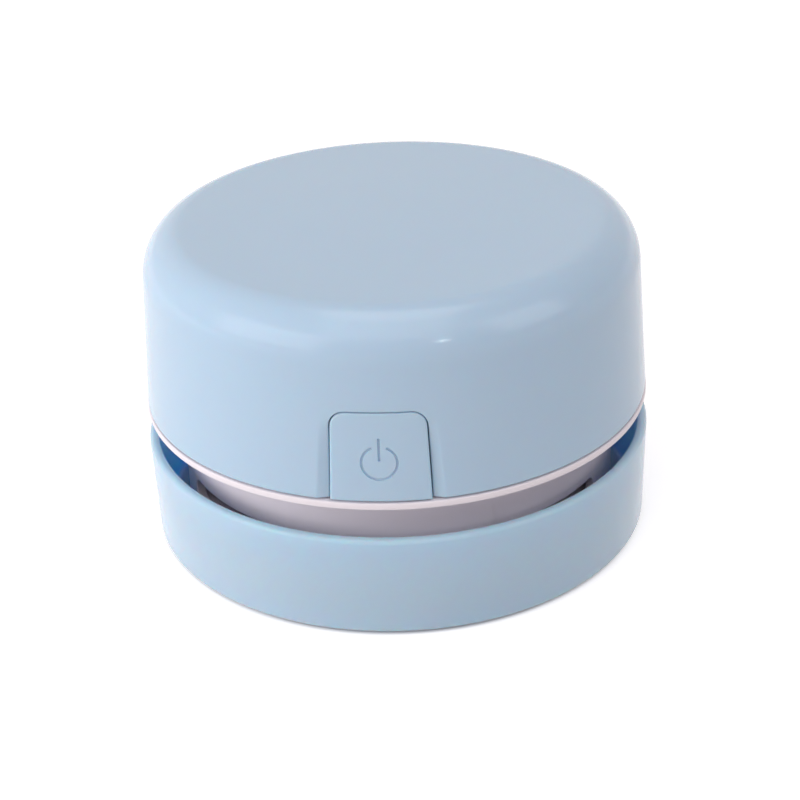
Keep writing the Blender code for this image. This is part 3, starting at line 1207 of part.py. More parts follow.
def make_leads(body):
    """Insulated leads under the battery tray, each from one solder point to the next."""
    tab_bottom = TRAY_BOTTOM - TAB_DROP
    tab_x = CONTACT_FACE + CONTACT_THICKNESS / 2
    below_tab = tab_bottom - FIT_GAP
    terminal_x = TERMINAL_OFFSET + TERMINAL_THICKNESS / 2 + FIT_GAP
    terminal_z = MOTOR_TOP + TERMINAL_HEIGHT / 2
    board_x = BOARD_LENGTH / 2 + FIT_GAP
    board_y = -BOARD_SCREW_Y - POST_RADIUS
    board_z = BOARD_TOP - BOARD_THICKNESS / 2
    black = [
        (tab_x, -CELL_OFFSET, below_tab),
        (tab_x, -CELL_OFFSET, below_tab - 2 * MM),
        (23.5 * MM, -7.6 * MM, 27.0 * MM),
        (17.5 * MM, -5.2 * MM, 28.4 * MM),
        (12.6 * MM, -1.4 * MM, terminal_z),
        (terminal_x + MM, 0, terminal_z),
        (terminal_x, 0, terminal_z),
    ]
    red = [
        (tab_x, CELL_OFFSET, below_tab),
        (tab_x, CELL_OFFSET, below_tab - 2 * MM),
        (TRAY_SCREW_OFFSET + 7 * MM, 3.0 * MM, 26.0 * MM),
        (TRAY_SCREW_OFFSET + 6.5 * MM, -6.0 * MM, 23.4 * MM),
        (22.0 * MM, -16.0 * MM, 23.8 * MM),
        (15.0 * MM, -21.4 * MM, 26.6 * MM),
        (board_x + 2 * MM, board_y, board_z),
        (board_x, board_y, board_z),
    ]
    motor = [
        (-board_x, board_y, board_z),
        (-board_x - 2 * MM, board_y, board_z),
        (-14.5 * MM, -18.5 * MM, 27.6 * MM),
        (-17.5 * MM, -10.0 * MM, 27.4 * MM),
        (-13.8 * MM, -2.6 * MM, 29.8 * MM),
        (-terminal_x - MM, 0, terminal_z),
        (-terminal_x, 0, terminal_z),
    ]
    for name, points, finish_name in (
        ("lead_black", black, "black_insulation"),
        ("lead_red", red, "red_insulation"),
        ("lead_motor", motor, "yellow_insulation"),
    ):
        tube(name, smooth_route(points), LEAD_RADIUS, finish_name, body)


def smooth_shading():
    for obj in PARTS.objects:
        if obj.type == "MESH":
            obj.data.shade_smooth()


def main():
    body = body_empty("body_slide", (0, 0, SKIRT_BOTTOM))
    rotor = body_empty("rotor_axis", (0, 0, DECK_BOTTOM))
    cap_body = body_empty("cap_slide", (0, 0, CAP_BOTTOM))
    button = body_empty("button_slide", (0, -STEM_END, STEM_HEIGHT))
    plunger = body_empty("plunger_slide", (0, -PLUNGER_TIP, STEM_HEIGHT))

    make_dust_tray()
    make_feet()
    make_brush_strips()
    make_seal_ring()
    make_filter()
    make_chassis(body)
    make_motor_deck(body)
    make_fan_inlet(body)
    make_rotor(rotor)
    make_motor(body)
    make_motor_clamp(body)
    make_battery_tray(body)
    make_cells(body)
    make_contacts(body)
    make_switch(body, plunger)
    make_button_guide(body)
    make_button(body, button)
    make_cap(cap_body)
    make_leads(body)
    smooth_shading()


clear_scene()
PARTS = new_collection("desktop_mini_vacuum")
CUTTERS = new_collection("cutters")
main()
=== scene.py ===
"""Desktop mini vacuum cleaner: the visible surfaces of a round battery vacuum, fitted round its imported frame.

Lengths are in metres, but the rounds of edges are given in millimetres. +Z is up along the axis of the round
body, and the button faces -Y. Angles round the axis are counted from the button, positive towards +X.
"""

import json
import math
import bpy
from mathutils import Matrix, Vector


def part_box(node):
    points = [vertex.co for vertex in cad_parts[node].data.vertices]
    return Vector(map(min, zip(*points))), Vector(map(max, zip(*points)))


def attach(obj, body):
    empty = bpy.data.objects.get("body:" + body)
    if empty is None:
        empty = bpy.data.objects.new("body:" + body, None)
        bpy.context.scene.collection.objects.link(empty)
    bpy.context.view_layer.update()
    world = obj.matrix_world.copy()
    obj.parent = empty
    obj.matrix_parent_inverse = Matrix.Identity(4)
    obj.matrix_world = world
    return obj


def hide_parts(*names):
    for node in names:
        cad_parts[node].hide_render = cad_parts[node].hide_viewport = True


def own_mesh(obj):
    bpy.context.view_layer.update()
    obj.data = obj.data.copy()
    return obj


bl_info = {
    "name": "Desktop Mini Vacuum Cleaner",
    "version": (1, 0, 0),
    "blender": (4, 5, 0),
    "location": "3D View > Sidebar > Desk Vacuum",
    "description": "Models the moulded shells, the works and the stage of a round battery vacuum for a desk",
    "category": "Add Mesh",
}

import bpy
from bpy.props import FloatProperty, FloatVectorProperty, PointerProperty
from bpy.types import Operator, Panel, PropertyGroup
from mathutils import Matrix, Vector

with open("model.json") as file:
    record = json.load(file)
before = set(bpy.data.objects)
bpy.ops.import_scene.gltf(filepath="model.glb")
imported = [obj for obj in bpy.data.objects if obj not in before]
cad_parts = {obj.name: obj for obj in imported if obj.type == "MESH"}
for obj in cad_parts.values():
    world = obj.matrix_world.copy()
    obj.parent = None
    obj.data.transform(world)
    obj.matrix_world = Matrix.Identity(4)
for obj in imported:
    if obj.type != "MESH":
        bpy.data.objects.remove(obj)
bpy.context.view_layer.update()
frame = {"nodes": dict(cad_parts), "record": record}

MM = 0.001
TURN = math.tau
QUARTER = math.tau / 4
MERGE_DISTANCE = 0.002 * MM
SMOOTH_ANGLE = math.radians(32)
ODD_TURN = math.radians(4.1)  # keeps the edges of a rod off those of the piece that it meets
OVERRUN = 1.0 * MM  # how far a cutter passes the face that it cuts
FIT_GAP = 0.3 * MM  # between pieces that sit on, in or beside each other


def low(node):
    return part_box(node)[0]


def high(node):
    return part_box(node)[1]


def middle_of(node):
    return (low(node) + high(node)) / 2


def extent(node):
    """The radius of a round piece of the frame, its bottom and its top."""
    return high(node).x, low(node).z, high(node).z


# Heights and radii of the frame
CAP_HEEL, CAP_BOTTOM, CAP_TOP = extent("cap")
RING_RIM, RING_BOTTOM, RING_TOP = extent("dust_tray")
BAND_RADIUS, SKIRT_BOTTOM, COLLAR_TOP = extent("chassis")
DECK_RADIUS, DECK_BOTTOM = extent("motor_deck")[:2]
BUTTON_BOTTOM = low("power_button").z
BUTTON_TOP = high("power_button").z - 0.4 * MM  # as in the photo
STEM_END = high("power_button").y

# The cap's own sizes
CAP_DRAFT = 1.25 * MM  # the wall narrows by this up to the shoulder
CAP_WALL = 1.8 * MM
CAP_DOME = 0.3 * MM
SHOULDER_ACROSS = 6.8 * MM
SHOULDER_DOWN = 7.8 * MM
SHOULDER_BOTTOM = CAP_TOP - CAP_DOME - SHOULDER_DOWN
CAP_SHOULDER = CAP_HEEL - CAP_DRAFT

# Facets round a turned piece
SHELL_STEPS = 224
PLAIN_STEPS = 96
SMALL_STEPS = 48
HOLE_STEPS = 24
FRONT_HALF_ANGLE = math.radians(17)
FRONT_STEPS = 110


# Tools for modelling


def leave_edit_mode():
    if bpy.context.object and bpy.context.object.mode != "OBJECT":
        bpy.ops.object.mode_set(mode="OBJECT")


def select_only(obj):
    leave_edit_mode()
    bpy.ops.object.select_all(action="DESELECT")
    obj.select_set(True)
    bpy.context.view_layer.objects.active = obj


def edit(obj):
    select_only(obj)
    bpy.ops.object.mode_set(mode="EDIT")
    bpy.ops.mesh.select_all(action="SELECT")


def on_axis(angle, radius, height):
    """A point by its angle from the button, its radius and its height."""
    return Vector((radius * math.sin(angle), -radius * math.cos(angle), height))


def new_primitive(name, add, **values):
    """The object that a primitive operator makes, named, with nothing else selected."""
    leave_edit_mode()
    bpy.ops.object.select_all(action="DESELECT")
    add(**values)
    obj = bpy.context.object
    obj.name = obj.data.name = name
    return obj


def drawn_line(name, points):
    """A line drawn from a plane merged to one point and extruded from place to place."""
    obj = new_primitive(name, bpy.ops.mesh.primitive_plane_add, size=MM)
    edit(obj)
    bpy.ops.mesh.merge(type="CENTER")
    bpy.ops.transform.translate(value=points[0])
    for before, after in zip(points, points[1:]):
        bpy.ops.mesh.extrude_vertices_move(TRANSFORM_OT_translate={"value": Vector(after) - Vector(before)})
    return obj


def drawn_face(name, points):
    """One flat face inside an outline."""
    obj = drawn_line(name, [*points, points[0]])
    bpy.ops.mesh.select_all(action="SELECT")
    bpy.ops.mesh.remove_doubles(threshold=MERGE_DISTANCE)
    bpy.ops.mesh.select_all(action="SELECT")
    bpy.ops.mesh.edge_face_add()
    return obj


def push(depth, axis=1):
    """Extrudes the selected face along an axis by this depth."""
    move = [0, 0, 0]
    move[axis] = depth
    bpy.ops.mesh.extrude_region_move(TRANSFORM_OT_translate={"value": move})


def clean(obj):
    """Merges doubles and turns the faces outwards."""
    edit(obj)
    bpy.ops.mesh.remove_doubles(threshold=MERGE_DISTANCE)
    bpy.ops.mesh.normals_make_consistent(inside=False)
    leave_edit_mode()
    return obj


def apply_modifiers(obj):
    select_only(obj)
    for modifier in list(obj.modifiers):
        bpy.ops.object.modifier_apply(modifier=modifier.name)
    return obj


def bevel(obj, size, angle=math.radians(50)):
    """Rounds the edges that turn by more than this angle."""
    modifier = obj.modifiers.new("edges", "BEVEL")
    modifier.width = size
    modifier.segments = 2
    modifier.limit_method = "ANGLE"
    modifier.angle_limit = angle
    return clean(apply_modifiers(obj))


def remove(obj):
    bpy.data.objects.remove(obj, do_unlink=True)


def use_boolean(obj, other, operation):
    """Cuts with the other object or joins it on, and deletes it."""
    modifier = obj.modifiers.new(operation.lower(), "BOOLEAN")
    modifier.operation = operation
    modifier.object = other
    apply_modifiers(obj)
    remove(other)
    return obj


def cut(obj, other):
    return use_boolean(obj, other, "DIFFERENCE")


def join(obj, other):
    return use_boolean(obj, other, "UNION")


def settle(obj, place=(0, 0, 0), lean=(0, 0, 0)):
    """Moves and turns an object, and puts that and its size into its mesh."""
    obj.location, obj.rotation_euler = place, lean
    select_only(obj)
    bpy.ops.object.transform_apply(location=True, rotation=True, scale=True)
    return obj


def copy_of(obj, name):
    """A copy with its own mesh."""
    made = obj.copy()
    made.data = obj.data.copy()
    made.name = made.data.name = name
    bpy.context.scene.collection.objects.link(made)
    return made


def ring_of(obj, count, start=0.0):
    """The object and copies of it, turned to so many places round the axis."""
    pieces = [obj, *(copy_of(obj, obj.name) for _ in range(count - 1))]
    return [settle(piece, lean=(0, 0, start + TURN * k / count)) for k, piece in enumerate(pieces)]


def merged(name, objects):
    """Several objects made one, without joining their shells."""
    leave_edit_mode()
    bpy.ops.object.select_all(action="DESELECT")
    for obj in objects:
        obj.select_set(True)
    bpy.context.view_layer.objects.active = objects[0]
    bpy.ops.object.join()
    objects[0].name = objects[0].data.name = name
    return objects[0]


def arc(centre, across, up, start, stop, steps):
    """Points on an elliptical arc in radius and height, its angles in quarter turns from straight out."""
    points = []
    for k in range(steps + 1):
        angle = QUARTER * (start + (stop - start) * k / steps)
        points.append((centre[0] + across * math.cos(angle), centre[1] + up * math.sin(angle)))
    return points


def rounded(corners, closed=True, steps=4):
    """An outline through corners given by radius, height and, in millimetres, the size of their round."""
    count = len(corners)
    points = []
    for k, (radius, height, size) in enumerate(corners):
        here = Vector((radius, height))
        if size == 0 or (not closed and k in (0, count - 1)):
            points.append((radius, height))
            continue
        to_last = Vector(corners[k - 1][:2]) - here
        to_next = Vector(corners[(k + 1) % count][:2]) - here
        half = to_last.angle(to_next) / 2
        reach = min(size * MM / math.tan(half), to_last.length / 2, to_next.length / 2)
        fitting = reach * math.tan(half)
        centre = here + (to_last.normalized() + to_next.normalized()).normalized() * fitting / math.sin(half)
        start = here + to_last.normalized() * reach - centre
        stop = here + to_next.normalized() * reach - centre
        for step in range(steps + 1):
            points.append(tuple(centre + fitting * start.slerp(stop, step / steps)))
    return points


def turned(name, section, steps=PLAIN_STEPS, fine_front=False):
    """A section in radius and height spun round the axis, more finely near the button where asked."""
    ring = section if section[0][0] == 0 else [*section, section[0]]
    start = FRONT_HALF_ANGLE if fine_front else 0  # a spin goes clockwise, seen from above
    obj = drawn_line(name, [on_axis(start, radius, height) for radius, height in ring])
    bpy.ops.mesh.select_all(action="SELECT")
    stages = [(steps, TURN - 2 * start)]
    if fine_front:
        stages.insert(0, (FRONT_STEPS, 2 * start))
    for count, angle in stages:
        bpy.ops.mesh.spin(steps=count, angle=angle, center=(0, 0, 0), axis=(0, 0, 1))
    return clean(obj)


def moulded(name, steps, corners, closed=True, round_steps=4):
    """A piece turned from a section with rounded corners."""
    return turned(name, rounded(corners, closed, round_steps), steps)


def wrap(obj, radius_at):
    """Bends a flat piece, drawn in x and height, round the axis. Its depth stays along +Y."""
    for vert in obj.data.vertices:
        x, depth, height = vert.co
        radius = radius_at(height)
        vert.co = Vector(on_axis(x / radius, radius, height)) + Vector((0, depth, 0))
    return obj


def cap_radius(height):
    """The cap's outer radius on its tapered wall."""
    return CAP_HEEL - CAP_DRAFT * (height - CAP_BOTTOM) / (SHOULDER_BOTTOM - CAP_BOTTOM)


def box_object(name, low_corner, high_corner, round_size=0.0, segments=3):
    """A box between two corners, its edges beveled by the round size in millimetres."""
    lowest, highest = Vector(low_corner), Vector(high_corner)
    obj = new_primitive(name, bpy.ops.mesh.primitive_cube_add, size=1)
    obj.scale = highest - lowest
    settle(obj, (lowest + highest) / 2)
    if round_size:
        edit(obj)
        bpy.ops.mesh.bevel(offset=round_size * MM, segments=segments, affect="EDGES")
        leave_edit_mode()
    return obj


def rod_object(name, x, y, radius, bottom, top, round_size=0.0, sides=SMALL_STEPS):
    """An upright rod, turned from a section with rounded ends."""
    corners = [(0, top, 0), (radius, top, round_size), (radius, bottom, round_size), (0, bottom, 0)]
    return settle(turned(name, rounded(corners, closed=False), sides), (x, y, 0), (0, 0, ODD_TURN))


def drill(obj, places, radius, bottom, top):
    """Cuts upright holes alike from bottom to top, one cutter modelled and the rest copied."""
    first = rod_object("hole", 0, 0, radius, bottom - OVERRUN, top + OVERRUN, 0, HOLE_STEPS)
    cutters = [first, *(copy_of(first, "hole") for _ in places[1:])]
    for cutter, (x, y) in zip(cutters, places):
        settle(cutter, (x, y, 0))
    return cut(obj, merged("holes", cutters))


def plate(name, outline, bottom, top):
    """A flat plate inside an outline of x and y."""
    obj = drawn_face(name, [(x, y, bottom) for x, y in outline])
    push(top - bottom, 2)
    return clean(obj)


def arc_bar(name, corners, middle, half_angle, steps):
    """A bar with this section, bent round the axis."""
    obj = drawn_face(name, [on_axis(middle + half_angle, radius, height) for radius, height in corners])
    bpy.ops.mesh.spin(steps=steps, angle=2 * half_angle, center=(0, 0, 0), axis=(0, 0, 1))
    return clean(obj)


def tubes(name, routes, radius, resolution=3):
    """Round wires along lists of points, as closed meshes in one object."""
    curve = bpy.data.curves.new(name, "CURVE")
    curve.dimensions = "3D"
    curve.bevel_depth = radius
    curve.bevel_resolution = resolution
    curve.use_fill_caps = True
    for points in routes:
        spline = curve.splines.new("POLY")
        spline.points.add(len(points) - 1)
        for slot, point in zip(spline.points, points):
            slot.co = (*point, 1)
    obj = bpy.data.objects.new(name, curve)
    bpy.context.scene.collection.objects.link(obj)
    select_only(obj)
    bpy.ops.object.convert(target="MESH")
    return clean(bpy.context.object)


def smooth_route(points, steps):
    """Points on a smooth curve through the route's own points."""
    route = [Vector(point) for point in points]
    padded = [2 * route[0] - route[1], *route, 2 * route[-1] - route[-2]]
    made = []
    for before, start, end, after in zip(padded, padded[1:], padded[2:], padded[3:]):
        for k in range(steps):
            t = k / steps
            bend = (2 * before - 5 * start + 4 * end - after) * t**2
            turn = (3 * start - before - 3 * end + after) * t**3
            made.append((2 * start + (end - before) * t + bend + turn) / 2)
    return [*made, route[-1]]


def stand_for(obj, body, slot, *nodes, finish=None, angle=SMOOTH_ANGLE):
    """Finishes a piece: its shading, material and body, and the nodes of the frame that it stands for."""
    select_only(obj)
    bpy.ops.object.shade_smooth_by_angle(angle=angle)
    obj.data.materials.clear()
    obj.data.materials.append(finish_of(finish or slot))
    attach(obj, body)
    if nodes:
        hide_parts(*nodes)
    return obj


# Materials

LIGHT_REACH = (0.3, 1.4, 2.2)  # how far red, green and blue get, beside each other
PLAIN_BEND = 1.45  # index of refraction
BLUE_BEND = 1.4  # low, since the photo shows little of the bright surroundings in it
WHITE = (1.0, 1.0, 1.0, 1.0)
GREY = (0.5, 0.5, 0.5, 1.0)
DUST_COLOUR = (0.8, 0.8, 0.78, 1.0)
SPECKS = (0.62, 0.78)  # the fine noise from which dust starts to show, and where it shows fully
FINER = 9.0  # the dust's noise beside the pigment's
PIGMENT_SCALE = 45.0
WAVE_SCALE = 240.0
GRAIN_SCALE = 2200.0
PLASTIC_SPREAD = (-0.03, 0.05)  # of the roughness, from place to place
METAL_SPREAD = (-0.08, 0.12)
METAL_DRIFT_SCALE = 160.0
METAL_DUST = 0.03
LINE_SCALE = 700.0
LINE_STRETCH = (1.0, 1.0, 12.0)
LINE_STRENGTH, LINE_DEPTH = 0.6, 0.006 * MM
WEAVE = {"Scale": 700.0, "Distortion": 0.6, "Detail": 1.0}
WEAVE_STRENGTH, WEAVE_DEPTH = 0.5, 0.02 * MM

SHELLS = {  # finish: its setting, and the share and the depth of the light that gets into it
    "blue_gloss": ("blue", 0.4, 1.2 * MM),
    "blue_tray": ("tray_blue", 0.9, 2.8 * MM),  # in the photo the ring's inner side glows a deep blue
}
PLASTICS = {  # finish: name, roughness, drift of the pigment, dust, depth of the skin's waves in mm, grain
    "blue_gloss": ("blue_gloss_plastic", None, 0.03, 0.02, 0.003, 0.0),  # its roughness is the user's
    "blue_tray": ("blue_tray_plastic", None, 0.03, 0.02, 0.003, 0.0),
    "white_plastic": ("white_satin_plastic", 0.34, 0.04, 0.10, 0.012, 0.5),
    "black_plastic": ("black_matt_plastic", 0.5, 0.2, 0.06, 0.02, 1.0),
    "rubber": ("black_rubber", 0.75, 0.3, 0.25, 0.03, 1.5),
    "cell_sleeve": ("cell_sleeve_film", 0.24, 0.10, 0.03, 0.02, 0.2),
    "cell_band": ("cell_band_film", 0.26, 0.08, 0.03, 0.02, 0.2),
    "black_insulation": ("black_insulation", 0.42, 0.12, 0.08, 0.02, 0.6),
    "red_insulation": ("red_insulation", 0.42, 0.12, 0.08, 0.02, 0.6),
    "yellow_insulation": ("yellow_insulation", 0.42, 0.12, 0.08, 0.02, 0.6),
    "bristle": ("nylon_bristle", 0.45, 0.35, 0.15, 0.01, 0.5),
    "filter_cloth": ("filter_thread", 0.6, 0.2, 0.45, 0.01, 1.0),
    "board": ("board_green_mask", 0.35, 0.2, 0.08, 0.01, 0.4),
}
METALS = {  # finish: name, roughness, drift of the tone
    "steel": ("plated_steel", 0.28, 0.10),
    "dark_steel": ("dull_steel", 0.42, 0.25),
    "brass": ("bare_brass", 0.32, 0.15),
    "copper": ("bare_copper", 0.34, 0.2),
}
COLOURS = {item["slot"]: (*item["base_color"], 1.0) for item in frame["record"]["materials"]}
COLOURS["cell_band"] = (0.62, 0.47, 0.24, 1.0)


def set_inputs(tree, node, values):
    """Sets a node's inputs to values, or links them to outputs."""
    for name, value in values.items():
        if isinstance(value, bpy.types.NodeSocket):
            tree.links.new(value, node.inputs[name])
        else:
            node.inputs[name].default_value = value
    return node


def add_node(tree, kind, inputs=None, **properties):
    """A node with its properties and its inputs set."""
    made = tree.nodes.new(kind)
    for name, value in properties.items():
        setattr(made, name, value)
    return set_inputs(tree, made, inputs or {})


def calculate(tree, operation, *values):
    return add_node(tree, "ShaderNodeMath", dict(enumerate(values)), operation=operation).outputs[0]


def spread(tree, value, low_value, high_value, start=0.0, stop=1.0):
    """Spreads a value between start and stop over a range."""
    values = {"Value": value, "From Min": start, "From Max": stop, "To Min": low_value, "To Max": high_value}
    return add_node(tree, "ShaderNodeMapRange", values, clamp=True).outputs["Result"]


def noise(tree, place, scale, detail, roughness):
    values = {"Vector": place, "Scale": scale, "Detail": detail, "Roughness": roughness}
    return add_node(tree, "ShaderNodeTexNoise", values).outputs["Fac"]


def mix_colours(tree, factor, first, second):
    values = {"Factor": factor, "A": first, "B": second}
    return add_node(tree, "ShaderNodeMix", values, data_type="RGBA").outputs["Result"]


def object_place(tree):
    return add_node(tree, "ShaderNodeTexCoord").outputs["Object"]


def bump(tree, height, strength, distance):
    """A relief from a height between 0 and 1, its full depth given as a distance."""
    values = {"Height": height, "Strength": strength, "Distance": distance}
    return add_node(tree, "ShaderNodeBump", values).outputs["Normal"]


def new_group(name, inputs, outputs):
    """An empty node group, its inputs given with their defaults and its outputs with their kinds."""
    group = bpy.data.node_groups.new(name, "ShaderNodeTree")
    for label, value in inputs.items():
        kind = "NodeSocketColor" if isinstance(value, tuple) else "NodeSocketFloat"
        group.interface.new_socket(label, in_out="INPUT", socket_type=kind).default_value = value
    for label, kind in outputs.items():
        group.interface.new_socket(label, in_out="OUTPUT", socket_type=kind)
    return group, group.nodes.new("NodeGroupInput").outputs


def tone_group():
    """A colour that drifts a little, as pigment does in a moulding, and gathers faint dust."""
    name = "pigment_and_dust"
    if name in bpy.data.node_groups:
        return bpy.data.node_groups[name]
    inputs = {"Color": GREY, "Dust Color": DUST_COLOUR, "Drift": 0.03, "Dust": 0.1, "Scale": 60.0}
    group, given = new_group(name, inputs, {"Color": "NodeSocketColor"})
    place = object_place(group)
    slow = noise(group, place, given["Scale"], detail=3.0, roughness=0.5)
    value = calculate(group, "MULTIPLY_ADD", calculate(group, "SUBTRACT", slow, 0.5), given["Drift"], 1.0)
    tint = add_node(group, "ShaderNodeHueSaturation", {"Color": given["Color"], "Value": value})
    finer = calculate(group, "MULTIPLY", given["Scale"], FINER)
    fine = noise(group, place, finer, detail=6.0, roughness=0.65)
    dust = calculate(group, "MULTIPLY", spread(group, fine, 0.0, 1.0, *SPECKS), given["Dust"])
    colour = mix_colours(group, dust, tint.outputs["Color"], given["Dust Color"])
    add_node(group, "NodeGroupOutput", {"Color": colour})
    return group


def relief_group():
    """Fine relief: a slow waviness, as on a moulding, over a finer grain."""
    name = "fine_relief"
    if name in bpy.data.node_groups:
        return bpy.data.node_groups[name]
    inputs = {"Wave Scale": WAVE_SCALE, "Grain Scale": GRAIN_SCALE, "Grain": 0.3}
    group, given = new_group(name, inputs, {"Height": "NodeSocketFloat", "Grain": "NodeSocketFloat"})
    place = object_place(group)
    wave = noise(group, place, given["Wave Scale"], detail=1.0, roughness=0.5)
    grain = noise(group, place, given["Grain Scale"], detail=3.0, roughness=0.6)
    height = calculate(group, "MULTIPLY_ADD", grain, given["Grain"], wave)
    add_node(group, "NodeGroupOutput", {"Height": height, "Grain": grain})
    return group


def new_material(name):
    """A new material with its tree and shader."""
    made = bpy.data.materials.new(name)
    made.use_nodes = True
    return made, made.node_tree, made.node_tree.nodes["Principled BSDF"]


def toned(tree, colour, drift, dust, scale):
    values = {"Color": colour, "Drift": drift, "Dust": dust, "Scale": scale}
    return add_node(tree, "ShaderNodeGroup", values, node_tree=tone_group()).outputs["Color"]


def plastic(name, colour, roughness, drift, dust, wave_depth, grain):
    """Moulded plastic: pigment that drifts, faint specks, and a skin that is never quite even."""
    made, tree, shader = new_material(name)
    relief = add_node(tree, "ShaderNodeGroup", {"Grain": grain}, node_tree=relief_group()).outputs
    ends = [roughness + change for change in PLASTIC_SPREAD]
    set_inputs(tree, shader, {
        "Base Color": toned(tree, colour, drift, dust, PIGMENT_SCALE),
        "Roughness": spread(tree, relief["Grain"], *ends),
        "Normal": bump(tree, relief["Height"], strength=1.0, distance=wave_depth * MM),
        "IOR": PLAIN_BEND,
    })
    return made, tree, shader


def metal(name, colour, roughness, drift):
    """Plated or bare metal with drawn lines, which scatter its shine."""
    made, tree, shader = new_material(name)
    stretch = add_node(tree, "ShaderNodeMapping", {"Vector": object_place(tree), "Scale": LINE_STRETCH})
    lines = noise(tree, stretch.outputs["Vector"], LINE_SCALE, detail=4.0, roughness=0.7)
    ends = [roughness + change for change in METAL_SPREAD]
    set_inputs(tree, shader, {
        "Base Color": toned(tree, colour, drift, METAL_DUST, METAL_DRIFT_SCALE),
        "Roughness": spread(tree, lines, *ends),
        "Normal": bump(tree, lines, LINE_STRENGTH, LINE_DEPTH),
        "Metallic": 1.0,
    })
    return made


def weave_relief(tree):
    """The glass weave of a board, under its solder mask."""
    place = object_place(tree)
    waves = [
        add_node(tree, "ShaderNodeTexWave", {"Vector": place, **WEAVE}, bands_direction=way).outputs["Fac"]
        for way in ("X", "Y")
    ]
    return bump(tree, calculate(tree, "MULTIPLY", *waves), WEAVE_STRENGTH, WEAVE_DEPTH)


def finish_of(finish):
    """The material of this finish. Blue and white are the user's colours, the others are the record's."""
    name, roughness, *rest = (METALS if finish in METALS else PLASTICS)[finish]
    if name in bpy.data.materials:
        return bpy.data.materials[name]
    if finish in METALS:
        return metal(name, COLOURS[finish], roughness, *rest)
    settings = bpy.context.scene.desk_vacuum_shell
    if finish not in SHELLS:
        colour = (*settings.white, 1.0) if finish == "white_plastic" else COLOURS[finish]
        made, tree, shader = plastic(name, colour, roughness, *rest)
        if finish == "board":
            set_inputs(tree, shader, {"Normal": weave_relief(tree)})
        return made
    setting, share, depth = SHELLS[finish]
    made, tree, shader = plastic(name, (*getattr(settings, setting), 1.0), settings.gloss, *rest)
    set_inputs(tree, shader, {
        "IOR": BLUE_BEND,
        "Subsurface Weight": share,
        "Subsurface Radius": LIGHT_REACH,
        "Subsurface Scale": depth,
    })
    return made


# Settings that a user would change


def length(name, description, default, smallest, largest):
    """A setting that is a length, its numbers given in millimetres."""
    return FloatProperty(
        name=name, description=description, subtype="DISTANCE", min=smallest * MM, max=largest * MM,
        default=default * MM,
    )


def angle(name, description, default, smallest, largest):
    """A setting that is an angle, its numbers given in degrees."""
    return FloatProperty(
        name=name, description=description, subtype="ANGLE", min=math.radians(smallest),
        max=math.radians(largest), default=math.radians(default),
    )


def colour(name, description, default):
    return FloatVectorProperty(
        name=name, description=description, subtype="COLOR", size=3, min=0, max=1, default=default,
    )


def power(name, description, default):
    return FloatProperty(name=name, description=description, subtype="POWER", min=0, default=default)


class VacuumShellSettings(PropertyGroup):
    blue: colour("Blue", "Colour of the cap, the button and the dust tray", (0.43, 0.575, 0.72))
    tray_blue: colour("Tray blue", "Colour of the dust tray, which is clearer", (0.435, 0.57, 0.755))
    white: colour("White", "Colour of the chassis and the inner mouldings", (0.8, 0.745, 0.79))
    gloss: FloatProperty(
        name="Gloss", description="Roughness of the blue plastic", subtype="FACTOR", min=0.03, max=1,
        default=0.15,
    )
    lip_round: length("Lip round", "Round of the edges beside the button", 0.22, 0.05, 0.6)
    scoop_width: length("Scoop width", "Width of the hollow beside the button, at its foot", 1.9, 0, 4)
    scoop_depth: length("Scoop depth", "Depth of the hollow beside the button, at its foot", 0.8, 0, 1)


class VacuumMarkSettings(PropertyGroup):
    radius: length("Circle radius", "Radius of the power mark's open circle", 2.75, 1, 6)
    gap: angle("Gap", "Half of the angle that the circle leaves open at its top", 24, 0, 90)
    bar: length("Bar length", "Length of the mark's upright bar", 3.8, 1, 6)
    line: length("Line width", "Width of the engraved line", 0.45, 0.1, 1)
    depth: length("Depth", "Depth of the engraved line", 0.32, 0.05, 0.6)


class VacuumStageSettings(PropertyGroup):
    distance: length("Distance", "From the camera to the point that it is aimed at", 314.2, 100, 2000)
    elevation: angle("Elevation", "Angle of the camera above the table", 26.40, 0, 90)
    azimuth: angle("Azimuth", "Angle of the camera from the button's side, to the right", 4.2, -180, 180)
    roll: angle("Roll", "Turn of the camera about its own view", -2.389, -90, 90)
    lens: FloatProperty(
        name="Lens", description="Focal length in millimetres on a sensor 36 mm wide", min=20, max=200,
        default=81.92,
    )
    left_power: power("Left light", "Power of the low lamp on the left", 2.15)
    corner_power: power("Corner light", "Power of the lamp on the left in front", 1.72)
    front_power: power("Front light", "Power of the high lamp in front", 1.0)
    glint_power: power("Glint light", "Power of the small lamp that shows on the shoulder", 0.14)
    right_power: power("Right light", "Power of the lamp on the right", 0.82)
    top_power: power("Top light", "Power of the lamp over the object", 1.1)
    ambient: colour("Ambient", "Colour and level of the light from all round", (0.281, 0.237, 0.237))


SETTINGS = {
    "desk_vacuum_shell": VacuumShellSettings,
    "desk_vacuum_mark": VacuumMarkSettings,
    "desk_vacuum_stage": VacuumStageSettings,
}


# The cap and its button

